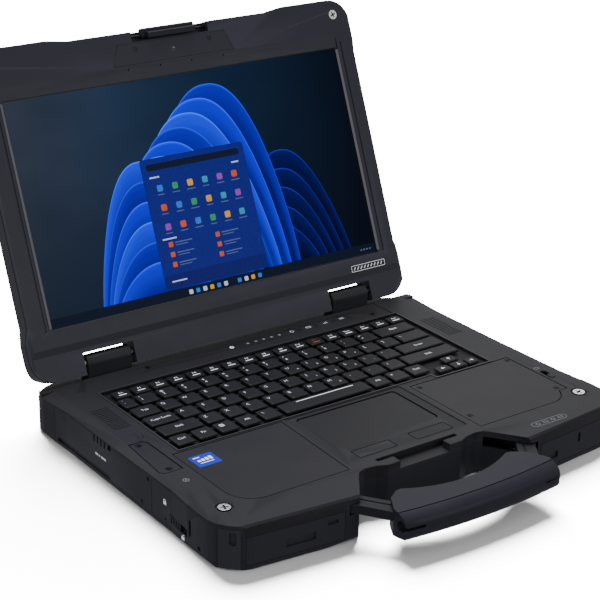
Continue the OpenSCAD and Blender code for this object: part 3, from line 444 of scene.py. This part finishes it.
def word(b, text, cx, cy, size, z0, height, matrix):
    """Plain raised lettering of a key."""
    curve = bpy.data.curves.new("legend", "FONT")
    curve.body = text
    curve.size = size
    curve.align_x = "CENTER"
    curve.align_y = "CENTER"
    curve.extrude = height / 2
    curve.resolution_u = 2
    obj = bpy.data.objects.new("legend", curve)
    bpy.context.scene.collection.objects.link(obj)
    mesh = bpy.data.meshes.new_from_object(obj.evaluated_get(bpy.context.evaluated_depsgraph_get()))
    b.add([(v.co.x + cx, v.co.y + cy, v.co.z + z0 + height / 2) for v in mesh.vertices],
          [tuple(p.vertices) for p in mesh.polygons], matrix)
    bpy.data.objects.remove(obj)
    bpy.data.curves.remove(curve)
    bpy.data.meshes.remove(mesh)


def islands(node):
    """Boxes of a node's separate solids, in millimetres from the middle of the base, left to right."""
    mesh = frame["nodes"][node].data
    bm = bmesh.new()
    bm.from_mesh(mesh)
    bmesh.ops.remove_doubles(bm, verts=bm.verts, dist=TOUCH)
    seen, boxes = set(), []
    for start in bm.verts:
        if start in seen:
            continue
        stack, group = [start], []
        seen.add(start)
        while stack:
            v = stack.pop()
            group.append(v.co)
            for e in v.link_edges:
                o = e.other_vert(v)
                if o not in seen:
                    seen.add(o)
                    stack.append(o)
        xs, ys, zs = zip(*[(c.x / MM, (c.y - BASE_Y) / MM, c.z / MM) for c in group])
        boxes.append((min(xs), max(xs), min(ys), max(ys), min(zs), max(zs)))
    bm.free()
    return sorted(boxes)


# ---------------------------------------------------------------- keys

BASE0 = deck_frame(0, 0, 0)


def key_cap(b, x0, x1, y0, y1, z0, z1):
    """Low key cap: straight skirt, narrow sloping rim and an almost flat, slightly dished top."""
    cx, cy, w, d = (x0 + x1) / 2, (y0 + y1) / 2, x1 - x0, y1 - y0
    rings = [rounded(cx, cy, w - 0.4, d - 0.4, 1.0, z0), rounded(cx, cy, w, d, 1.2, z0 + 0.2),
             rounded(cx, cy, w, d, 1.2, z1 - 0.75), rounded(cx, cy, w - 0.35, d - 0.35, 1.2, z1 - 0.45),
             rounded(cx, cy, w - 1.5, d - 1.5, 1.3, z1 - 0.06), rounded(cx, cy, w - 2.1, d - 2.1, 1.3, z1),
             rounded(cx, cy, w - 4.0, d - 4.0, 1.0, z1 - 0.04),
             rounded(cx, cy, max(w - 8.0, 1.0), max(d - 8.0, 1.0), 0.6, z1 - 0.1)]
    b.loft(rings, BASE0)


ROWS = {
    "function_keys": ["Esc"] + ["F%d" % i for i in range(1, 13)] + ["Num", "Prt", "Ins", "Del"],
    "number_keys": list("`1234567890-=") + ["Back"],
    "upper_letter_keys": ["Tab"] + list("QWERTYUIOP[]\\"),
    "home_row_keys": ["Caps Lock"] + list("ASDFGHJKL;'") + ["Enter"],
    "lower_letter_keys": ["Shift"] + list("ZXCVBNM,./") + ["Shift"],
    "bottom_row_keys": ["Ctrl", "Fn", "o", "Alt", "\\", "Alt", "=", "Ctrl"],
    "space_bar": ["_"],
    "arrow_keys": ["<", "^", "v", ">"],
}
SHIFTED = dict(zip("1234567890", "!@#$%^&*()"))   # upper sign of a number key; the others repeat their own
NUMBER_PAD = dict(zip("UIOPJKL;M/", "456*123-0."))   # small sign of a letter key
ARROWS = {"<": (-1, 0), ">": (1, 0), "^": (0, 1), "v": (0, -1)}
CAP_H = 2.0                                      # only the caps are drawn, without the guide stems below them
INK_H = 0.05
DISH = 0.09                                      # the legends lie this far below a key's highest point


def legend(ink, row, text, x0, x1, y0, y1, z):
    """Draws the legend of the key between x0 and x1 and between y0 and y1, in the way of its row."""
    cx, cy = (x0 + x1) / 2, (y0 + y1) / 2
    left, high = x0 + 2.0, cy + 2.4

    def write(letters, x, y, size):
        word(ink, letters, x, y, size, z, INK_H, BASE0)

    def stroke(xa, ya, xb, yb, t):
        bar(ink, xa, ya, xb, yb, t, z, z + INK_H, BASE0)

    if row == "function_keys":
        write(text, cx, cy + 1.2, 3.4 if len(text) < 3 else 2.9)
        stroke(cx - 3.3, y0 + 3.4, cx + 3.3, y0 + 3.4, 1.1)
    elif text == "_":                            # line along the space bar
        stroke(x0 + 16.0, cy + 4.2, x1 - 10.1, cy + 4.2, 0.75)
    elif text == "o":                            # plain square
        outline(ink, left + 3.2, high - 0.4, 3.6, 3.6, 0.3, 0.9, z, z + INK_H, BASE0)
        stroke(left + 1.6, high - 0.4, left + 4.8, high - 0.4, 0.5)
    elif row == "arrow_keys":
        dx, dy = ARROWS[text]
        stroke(cx - dx * 1.7, cy - dy * 1.7, cx + dx * 1.7, cy + dy * 1.7, 0.5)
        for s in (-1, 1):
            stroke(cx + dx * 1.7, cy + dy * 1.7, cx + dx * 0.5 + s * dy * 1.2, cy + dy * 0.5 + s * dx * 1.2, 0.5)
    elif row == "number_keys" and len(text) == 1:
        write(text, left + 1.2, high - 3.6, 3.6)
        write(SHIFTED.get(text, text), left + 1.2, high + 0.8, 3.2)
    elif len(text) == 1:
        write(text, left + 1.7, high, 4.3)
        if text in NUMBER_PAD:
            write(NUMBER_PAD[text], left + 8.2, high - 5.0, 3.2)
    else:
        write(text, cx, cy + 0.6, 3.9)


for row, words in ROWS.items():
    caps, ink, warm = Build(), Build(), Build()
    solids = islands(row)
    if row == "arrow_keys":                      # the upper arrow stands over the lower one
        up = max(solids, key=lambda s: s[2])
        rest = [s for s in solids if s is not up]
        solids = [rest[0], up, rest[1], rest[2]]
    for (x0, x1, y0, y1, _, top), text in zip(solids, words):
        key_cap(caps, x0, x1, y0, y1, top - CAP_H, top)
        legend(warm if text == "F11" else ink, row, text, x0, x1, y0, y1, top - DISH)
    shell = new_piece(row + "_caps", caps.verts, caps.faces, M["key"], row)
    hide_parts(row)
    soften = shell.modifiers.new("rounding", "BEVEL")
    soften.width = 0.12 * MM
    soften.segments = 2
    soften.limit_method = "ANGLE"
    soften.angle_limit = math.radians(25)
    bright = row in ("function_keys", "number_keys", "space_bar", "arrow_keys")
    new_piece(row + "_legends", ink.verts, ink.faces, M["ink" if bright else "letter_ink"], row, smooth=False)
    if warm.faces:
        new_piece(row + "_marked_legend", warm.verts, warm.faces, M["orange_ink"], row, smooth=False)

# ---------------------------------------------------------------- marks on the deck

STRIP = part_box("shortcut_button_1")[1][2] / MM   # top of the strip behind the keys
TOP = DECK / MM
MARK_H = 0.03
LAMP_Y = 107.4
RING_SIGN, CAPSULE_SIGN = (-160.6, -60.3), (107.6, -129)

# The four shortcut signs, and the power lamp: plain shapes
buttons = [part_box("shortcut_button_%d" % i) for i in range(1, 5)]
for i, (lo, hi) in enumerate(buttons):
    cx, cy = (lo[0] + hi[0]) / 2 / MM, ((lo[1] + hi[1]) / 2 - BASE_Y) / MM
    b = Build()
    m = deck_frame(cx, cy, STRIP)
    if i == 0:
        ring(b, 0, 0, 1.5, 0.5, 0, MARK_H, m)
    elif i == 1:
        outline(b, 0, 0, 4.6, 2.8, 0.5, 0.5, 0, MARK_H, m)
    elif i == 2:
        for k in range(3):
            bar(b, -2 + k * 1.7, -1.3, -2 + k * 1.7, -0.4 + k * 0.9, 0.7, 0, MARK_H, m)
    else:
        bar(b, -2.2, 0.8, 2.2, 0.8, 0.5, 0, MARK_H, m)
        bar(b, -2.2, -0.8, 2.2, -0.8, 0.5, 0, MARK_H, m)
    new_piece("shortcut_%d_sign" % (i + 1), b.verts, b.faces, M["lit_ink"], "shortcut_button_%d" % (i + 1),
              smooth=False)

lamp = Build()
m = deck_frame(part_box("status_lights")[0][0] / MM + 2.0, LAMP_Y, STRIP + 0.05)
ring(lamp, 0, 0, 1.5, 0.55, 0, MARK_H, m, 115, 425)
bar(lamp, 0, 0.6, 0, 2.1, 0.55, 0, MARK_H, m)
new_piece("power_lamp_sign", lamp.verts, lamp.faces, M["lamp"], "base", smooth=False)

# Signs behind the power switch, beside the left palm rest and at the front right, where a capsule frames four
faint = Build()
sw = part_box("power_switch")
sx, sy = (sw[0][0] + sw[1][0]) / 2 / MM, (sw[1][1] - BASE_Y) / MM
m = deck_frame(sx, sy + 11.5, TOP)
outline(faint, 0, 0, 4.2, 3.2, 0.5, 0.45, 0, MARK_H, m)
bar(faint, 0, 0.4, 0, 2.2, 0.45, 0, MARK_H, m)
m = deck_frame(*RING_SIGN, TOP)
ring(faint, 0, 0, 2.1, 0.5, 0, MARK_H, m)
ring(faint, 0, 0, 0.6, 0.5, 0, MARK_H, m)
outline(faint, 0, 0, 33.0, 6.4, 3.2, 0.35, 0, MARK_H, deck_frame(*CAPSULE_SIGN, TOP))
for i, x in enumerate((96.6, 104, 111.4, 118.6)):
    m = deck_frame(x, CAPSULE_SIGN[1], TOP)
    if i % 2:
        outline(faint, 0, 0, 4.4, 2.4, 0.5, 0.4, 0, MARK_H, m)
    else:
        ring(faint, 0, 0, 1.5, 0.4, 0, MARK_H, m)
new_piece("deck_signs", faint.verts, faint.faces, M["dim_ink"], "base", smooth=False)

# Painted highlight along the bead round the keyboard well, where its rim catches the light: the well's corners, and
# which way is outwards at each
WELL = [(-141.2, -20), (88, -20), (88, -26), (141.2, -26), (141.2, 90), (-141.2, 90)]
OUTWARDS = [(-1, -1), (-1, -1), (-1, -1), (1, -1), (1, 1), (-1, 1)]
edge_mark = Build()
rings = [[(x + sx * out, y + sy * out, z) for (x, y), (sx, sy) in zip(WELL, OUTWARDS)]
         for out, z in ((1.1, BEAD - 0.02), (1.1, BEAD + 0.03), (0.55, BEAD + 0.03), (0.55, BEAD - 0.02))]
edge_mark.loft(rings + rings[:1], deck_frame(0, 0, TOP), False, False)
new_piece("well_bead_painted_line", edge_mark.verts, edge_mark.faces, M["rubbed"], "base", smooth=False)

# Sticker on the left palm rest: blue film with a plain abstract sign
film, sign = Build(), Build()
inlay_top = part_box("palm_rest_inlay")[1][2] / MM
m = deck_frame(-133.6, -42.5, inlay_top)
tablet(film, 0, 0, 18.6, 16.4, 1.0, 0, 0.1, m)
new_piece("sticker", film.verts, film.faces, M["sticker"], "base", smooth=False)
for k in range(4):
    tablet(sign, -4.6 + k * 3.2, 0.2 + 0.35 * k, 2.3, 2.6 + 0.7 * k, 0.6, 0.1, 0.13, m)
bar(sign, -6.8, 5.2, -1.5, 5.2, 1.1, 0.1, 0.13, m)
bar(sign, -5.6, -3.4, 5.4, -3.4, 0.8, 0.1, 0.13, m)
new_piece("sticker_sign", sign.verts, sign.faces, M["ink"], "base", smooth=False)

# ---------------------------------------------------------------- marks on the left flank

flank = Build()
m = left_frame(28.5, 17.0, 0.02)
for x, w in ((-7.6, 3.8), (-2.8, 1.9), (0.4, 7.0)):
    bar(flank, x, 0, x + w, 0, 1.6, 0, MARK_H, m)
new_piece("bay_label", flank.verts, flank.faces, M["letter_ink"], "base", smooth=False)
locks = Build()
for y, z, out, shut in ((-57.7, 20.0, 0.03, True), (-82.6, 5.2, 1.42, False)):
    m = left_frame(y, z, out)
    tablet(locks, 0, -0.7, 3.6, 2.6, 0.4, 0, MARK_H, m)
    ring(locks, 0 if shut else 1.1, 0.7, 1.3, 0.6, 0, MARK_H, m, 0, 180)
new_piece("battery_lock_signs", locks.verts, locks.faces, M["ink"], "battery", smooth=False)

# ---------------------------------------------------------------- badge of the lid, and painted highlights beside its display

BADGE_X, BADGE_V = 142.2, 20.5
BADGE_RIM, BADGE_FIELD = 6.9, 6.7                # how far its rim and its field stand out from the hinge axis
plate = Build()
outline(plate, 0, 0, 35.2, 5.3, 0.7, 0.45, 0, MARK_H, lid_frame(BADGE_X, BADGE_V, BADGE_RIM))
m = lid_frame(BADGE_X, BADGE_V, BADGE_FIELD)
for k in range(9):                               # plain row of slanted strokes, no lettering
    x = -14.0 + 3.5 * k
    bar(plate, x - 0.9, -1.1, x + 0.9, 1.1, 0.9, 0, MARK_H, m)
new_piece("badge_marks", plate.verts, plate.faces, M["ink"], "lid", smooth=False)

# Painted highlight: pale strips at both sides of the display, standing in for light caught by the bezel's inner
# slopes
highlight_strips = Build()
section = [(155.5, 5.4), (155.5, 5.6), (157.6, 6.16), (157.6, 5.96)]
for side in (-1, 1):
    highlight_strips.loft([[(side * x, v, w) for x, w in section[::side]] for v in (31.5, 203.5)], lid_frame(0, 0, 0))
new_piece("display_side_highlights", highlight_strips.verts, highlight_strips.faces, M["slope_sheen"], "lid", smooth=False)

# ---------------------------------------------------------------- picture on the display

GLASS = 4.55                                     # the glass's face, from the hinge axis towards the user
LIFT, LAYER_STEP = 0.02, 0.015                   # the picture's ground above the glass, and each layer above the next
X_HALF, V_LOW, V_HIGH = 154.6, 30.7, 204.6       # half the picture's width, its lower and its upper edge


def picture(name, points, faces, mat, layer, uvs=None):
    """Flat shape of the picture; points are millimetres right of the middle and up the lid."""
    verts = [on_lid(x, v, GLASS + LIFT + LAYER_STEP * layer) for x, v in points]
    new_piece(name, verts, faces, mat, "lid", smooth=False, uvs=uvs)


def lit(mat_name, color_of):
    """Material of a lit part of the picture; color_of returns its colour socket."""
    mat = bpy.data.materials.new(mat_name)
    nodes, links = nodes_of(mat)
    shader = nodes["Principled BSDF"]
    uv = nodes.new("ShaderNodeTexCoord").outputs["UV"]
    shader.inputs["Base Color"].default_value = (0.001, 0.001, 0.002, 1)
    links.new(color_of(nodes, links, uv), shader.inputs["Emission Color"])
    shader.inputs["Emission Strength"].default_value = 1.0
    shader.inputs["Roughness"].default_value = 0.5
    shader.inputs["Specular IOR Level"].default_value = 0.03
    return mat


def ramp_of(nodes, links, value, stops):
    """Colour ramp through stops of (position, colour)."""
    ramp = nodes.new("ShaderNodeValToRGB")
    e = ramp.color_ramp.elements
    e[0].position, e[0].color = stops[0][0], (*stops[0][1], 1)
    e[1].position, e[1].color = stops[-1][0], (*stops[-1][1], 1)
    for pos, color in stops[1:-1]:
        e.new(pos).color = (*color, 1)
    links.new(value, ramp.inputs["Fac"])
    return ramp.outputs["Color"]


def ground_and_reflection_color(nodes, links, uv):
    """Night blue ground, almost black at the right; the grey at its upper left is a painted reflection of a soft lamp
    on the glass.
    """
    split = nodes.new("ShaderNodeSeparateXYZ")
    links.new(uv, split.inputs["Vector"])
    # painted reflection: the greyer colours at the left stand for a soft lamp mirrored in the glass
    across = ramp_of(nodes, links, split.outputs["X"], [
        (0.0, (0.0380, 0.0470, 0.0700)), (0.3, (0.0180, 0.0370, 0.0800)), (0.62, (0.0055, 0.0190, 0.0480)),
        (1.0, (0.0008, 0.0036, 0.0120))])
    down = ramp_of(nodes, links, split.outputs["Y"], [
        (0.0, (0.25, 0.4, 0.5)), (0.6, (0.8, 0.85, 0.9)), (1.0, (1.0, 1.0, 1.0))])
    cloud = remap(nodes, links, noise(nodes, links, uv, 3.0, 2.0), 0.3, 0.7, 0.0, 0.3)
    return mix(nodes, links, cloud, mix(nodes, links, 1.0, across, down, "MULTIPLY"), (0.001, 0.004, 0.012))


COLS, LINES = 24, 14
pts, uvs = [], []
for j in range(LINES + 1):
    for i in range(COLS + 1):
        pts.append((-X_HALF + 2 * X_HALF * i / COLS, V_LOW + (V_HIGH - V_LOW) * j / LINES))
        uvs.append((i / COLS, j / LINES))
quads = [(j * (COLS + 1) + i, j * (COLS + 1) + i + 1, (j + 1) * (COLS + 1) + i + 1, (j + 1) * (COLS + 1) + i)
         for j in range(LINES) for i in range(COLS)]
picture("picture_ground", pts, quads, lit("picture_ground", ground_and_reflection_color), 0, uvs)


def wave_light(name, low, high, shine):
    """Light of one wave: bright along its rim, deeper blue below it, with faint streaks along the rim."""
    def color(nodes, links, uv):
        split = nodes.new("ShaderNodeSeparateXYZ")
        links.new(uv, split.inputs["Vector"])
        mapping = nodes.new("ShaderNodeMapping")
        mapping.inputs["Scale"].default_value = (30.0, 2.0, 1.0)
        links.new(uv, mapping.inputs["Vector"])
        streak = remap(nodes, links, noise(nodes, links, mapping.outputs["Vector"], 1.0, 2.0), 0.35, 0.7, 0.0, 0.45)
        body = ramp_of(nodes, links, split.outputs["X"], [
            (0.0, low), (0.45, tuple((a + b) / 2 for a, b in zip(low, high))), (0.93, high), (0.985, shine)])
        return mix(nodes, links, streak, body, tuple((a + b) / 2 for a, b in zip(low, high)))
    return lit(name, color)


BLUE = [wave_light("picture_blue_1", (0.0, 0.002, 0.14), (0.0, 0.006, 1.00), (0.02, 0.12, 1.7)),
        wave_light("picture_blue_2", (0.0, 0.001, 0.07), (0.0, 0.003, 0.60), (0.01, 0.06, 1.3)),
        wave_light("picture_blue_3", (0.0, 0.004, 0.24), (0.0, 0.028, 1.25), (0.03, 0.20, 1.8)),
        wave_light("picture_blue_4", (0.0, 0.0006, 0.012), (0.0, 0.0025, 0.12), (0.003, 0.02, 0.6))]


def wave(index, middle, height, spread, mat, layer, depth, lean):
    """Rolling wave of the picture: its rim rises to `height` at `middle`; it is filled down to the lower edge."""
    pts, uvs, faces = [], [], []
    steps, levels = 56, 7
    reach = spread * 1.45
    for i in range(steps + 1):
        t = -1 + 2 * i / steps
        x = max(-X_HALF, min(X_HALF, middle + reach * t))
        rim = V_LOW + height * max(0.0, 1 - abs(t) ** 2.3) ** 0.8
        for k in range(levels):
            v = rim - (rim - V_LOW) * (k / (levels - 1)) ** 1.7
            pts.append((max(-X_HALF, min(X_HALF, x + lean * (v - V_LOW))), v))
            uvs.append((max(0.0, 1 - (rim - v) / depth), t))
    for i in range(steps):
        for k in range(levels - 1):
            a = i * levels + k
            faces.append((a, a + 1, a + 1 + levels, a + levels))
    picture("picture_wave_%02d" % index, pts, faces, mat, layer, uvs)


# Plain rolling waves, one in front of the other
k = 0
for i in range(5):                               # low dark swell at the right
    wave(k, 84 - 5 * i, 100 - 15 * i, 33 - 2.0 * i, BLUE[3], 1 + k, 22.0, -0.05)
    k += 1
for i in range(6):                               # tall swell in the middle
    wave(k, 6 - 7 * i, 163 - 10 * i, 50 - 1.5 * i, BLUE[(1, 0, 2, 1, 0, 2)[i]], 1 + k, 30.0, 0.10 - 0.03 * i)
    k += 1
for i in range(6):                               # swell at the left
    wave(k, -62 + 2 * i, 112 - 16 * i, 33 - 0.5 * i, BLUE[(2, 1, 0, 2, 1, 0)[i]], 1 + k, 24.0, 0.08)
    k += 1
LAYER = k + 2


def tile_light(name, color):
    """Light of one colour of the picture's plain window."""
    return glow(name, color, 1.0, 0.4, 0.25)


WINDOW = tile_light("picture_window", (0.0045, 0.0065, 0.105))
WINDOW_2 = tile_light("picture_window_foot", (0.0030, 0.0045, 0.075))
FIELD = tile_light("picture_field", (0.0020, 0.0045, 0.016))
PALE = tile_light("picture_pale", (0.30, 0.35, 0.48))
DIM = tile_light("picture_dim", (0.05, 0.07, 0.16))
STRIPE = tile_light("picture_stripe", (0.0010, 0.0032, 0.011))
TILES = [tile_light("picture_tile_%d" % i, c) for i, c in enumerate((
    (0.01, 0.09, 0.42), (0.35, 0.05, 0.012), (0.16, 0.03, 0.25), (0.015, 0.16, 0.26), (0.42, 0.2, 0.02),
    (0.02, 0.16, 0.06)))]


def flat(name, shapes, mat, layer):
    """Rounded rectangles of the picture, each as (centre x, centre v, width, height, corner radius)."""
    pts, faces = [], []
    for cx, cv, w, h, r in shapes:
        rim = rounded(cx, cv, w, h, r, 0)
        faces.append(tuple(range(len(pts), len(pts) + len(rim))))
        pts += [(x, v) for x, v, _ in rim]
    picture(name, pts, faces, mat, layer)


WX, WV, WW, WH = -3.0, 91.0, 97.0, 104.0         # plain window in the middle of the picture
flat("picture_stripe", [(0, 34.6, 2 * X_HALF, 7.8, 0.05)], STRIPE, LAYER - 1)
flat("picture_window", [(WX, WV, WW, WH, 2.5)], WINDOW, LAYER)
flat("picture_window_foot", [(WX, WV - WH / 2 + 6, WW - 1, 11, 2.0)], WINDOW_2, LAYER + 1)
flat("picture_field", [(WX, WV + WH / 2 - 7, WW - 10, 5.2, 2.2)], FIELD, LAYER + 1)
cells = [(WX - WW / 2 + 13.5 + i * 14.0, WV + WH / 2 - 24 - j * 15.5) for j in range(3) for i in range(6)]
for t, mat in enumerate(TILES):
    own = [c for i, c in enumerate(cells) if (i * 5 + i // 6) % 6 == t]
    flat("picture_tiles_%d" % t, [(x, v, 5.2, 5.2, 1.2) for x, v in own], mat, LAYER + 2)
flat("picture_captions", [(x, v - 5.0, 6.0 + (i % 3), 0.8, 0.3) for i, (x, v) in enumerate(cells)], DIM,
     LAYER + 2)
rows = [(WX + dx, WV - 17 - 8.0 * j) for j in range(3) for dx in (-36, 8)]
flat("picture_list", [(x + 12, v + 0.9, 16, 0.9, 0.3) for x, v in rows] +
     [(x + 10, v - 1.2, 11, 0.7, 0.3) for x, v in rows], DIM, LAYER + 2)
flat("picture_list_tiles", [(x, v, 4.0, 4.0, 0.8) for x, v in rows], TILES[1], LAYER + 2)
flat("picture_heads", [(WX - 38, WV + WH / 2 - 15, 9, 1.2, 0.4), (WX - 36, WV - 12.3, 13, 1.2, 0.4),
                       (WX + 38, WV + WH / 2 - 15, 7, 1.2, 0.4), (WX - 35, WV - WH / 2 + 6, 14, 1.1, 0.4)],
     PALE, LAYER + 3)
for part, mat, spots in (("a", PALE, (0, 2, 5, 8)), ("b", TILES[0], (1, 4, 7, 10)), ("c", TILES[4], (3, 9))):
    flat("picture_bar_tiles_" + part, [(-30 + i * 6.6, 34.2, 3.6, 3.6, 0.8) for i in spots], mat, LAYER + 2)
flat("picture_corner_marks", [(140 + i * 3.0, 34.4, 1.8, 1.2, 0.3) for i in range(4)], DIM, LAYER + 2)

# ---------------------------------------------------------------- floor, light and camera

bpy.ops.mesh.primitive_plane_add(size=16, location=(0, 0, 0))
floor = bpy.context.object
floor.name = "floor"
floor.data.materials.append(surface("floor_paper", (0.9, 0.9, 0.9), 0.8, vary=0.01, grain=60, bump=0.02, wear=0.0))
floor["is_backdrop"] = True
floor.visible_diffuse = False                    # the floor is lit far brighter than the object, as a white
floor.visible_glossy = False                     # studio sweep is, so it doesn't throw light back at it


def soft_light(name, place, target, size, power):
    """Rectangular lamp at one place that faces another."""
    data = bpy.data.lights.new(name, "AREA")
    data.shape = "RECTANGLE"
    data.size, data.size_y = size
    data.energy = power
    obj = bpy.data.objects.new(name, data)
    bpy.context.scene.collection.objects.link(obj)
    obj.location = place
    obj.rotation_euler = (Vector(target) - Vector(place)).to_track_quat("-Z", "Y").to_euler()


def sun(name, power, spread, lean_x, lean_y):
    """Even light from above, leaning from upright by degrees about X and Y."""
    data = bpy.data.lights.new(name, "SUN")
    data.energy = power
    data.angle = math.radians(spread)
    obj = bpy.data.objects.new(name, data)
    bpy.context.scene.collection.objects.link(obj)
    obj.rotation_euler = (math.radians(lean_x), math.radians(lean_y), 0)
    return obj


ceiling = sun("ceiling_light", 4.0, 52, -22, 2)   # lights the object alone
all_but_floor = bpy.data.collections.new("lit_by_ceiling")
all_but_floor.objects.link(floor)
all_but_floor.collection_objects[0].light_linking.link_state = "EXCLUDE"
ceiling.light_linking.receiver_collection = all_but_floor
sweep = sun("sweep_light", 78.0, 40, -37, 26)     # lights the floor alone, from behind at the right
only_floor = bpy.data.collections.new("lit_by_sweep")
only_floor.objects.link(floor)
sweep.light_linking.receiver_collection = only_floor
soft_light("back_light", (1.15, 1.6, 1.0), (0, 0, 0.05), (1.5, 1.0), 4.0)
soft_light("front_fill", (0.7, -1.5, 0.62), (0, 0.1, 0.12), (0.8, 0.7), 7.0)
soft_light("side_fill", (-1.35, -1.0, 0.45), (0, 0, 0.05), (0.7, 0.6), 4.0)

world = bpy.data.worlds.new("studio")
bpy.context.scene.world = world
world.use_nodes = True
back = world.node_tree.nodes["Background"]
back.inputs["Color"].default_value = (1, 1, 1, 1)
back.inputs["Strength"].default_value = 0.5

# Camera: where the object is seen from, to the left of its front and above
AZ, EL, ROLL = math.radians(-34.88), math.radians(22.40), math.radians(0.59)
back_axis = Vector((math.sin(AZ) * math.cos(EL), -math.cos(AZ) * math.cos(EL), math.sin(EL)))
right = Vector((0, 0, 1)).cross(back_axis).normalized()
up = back_axis.cross(right)
c, s = math.cos(ROLL), math.sin(ROLL)
right, up = c * right + s * up, -s * right + c * up
data = bpy.data.cameras.new("camera")
data.lens = 103.8
data.sensor_width = 36
data.shift_x = 0.0732
data.shift_y = 0.0108
data.clip_end = 50
camera = bpy.data.objects.new("camera", data)
bpy.context.scene.collection.objects.link(camera)
place = at(-713.05, -933.17, 585.49)
camera.matrix_world = Matrix((
    (right.x, up.x, back_axis.x, place.x),
    (right.y, up.y, back_axis.y, place.y),
    (right.z, up.z, back_axis.z, place.z),
    (0, 0, 0, 1)))
bpy.context.scene.camera = camera

bpy.context.view_layer.update()
lo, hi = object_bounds()
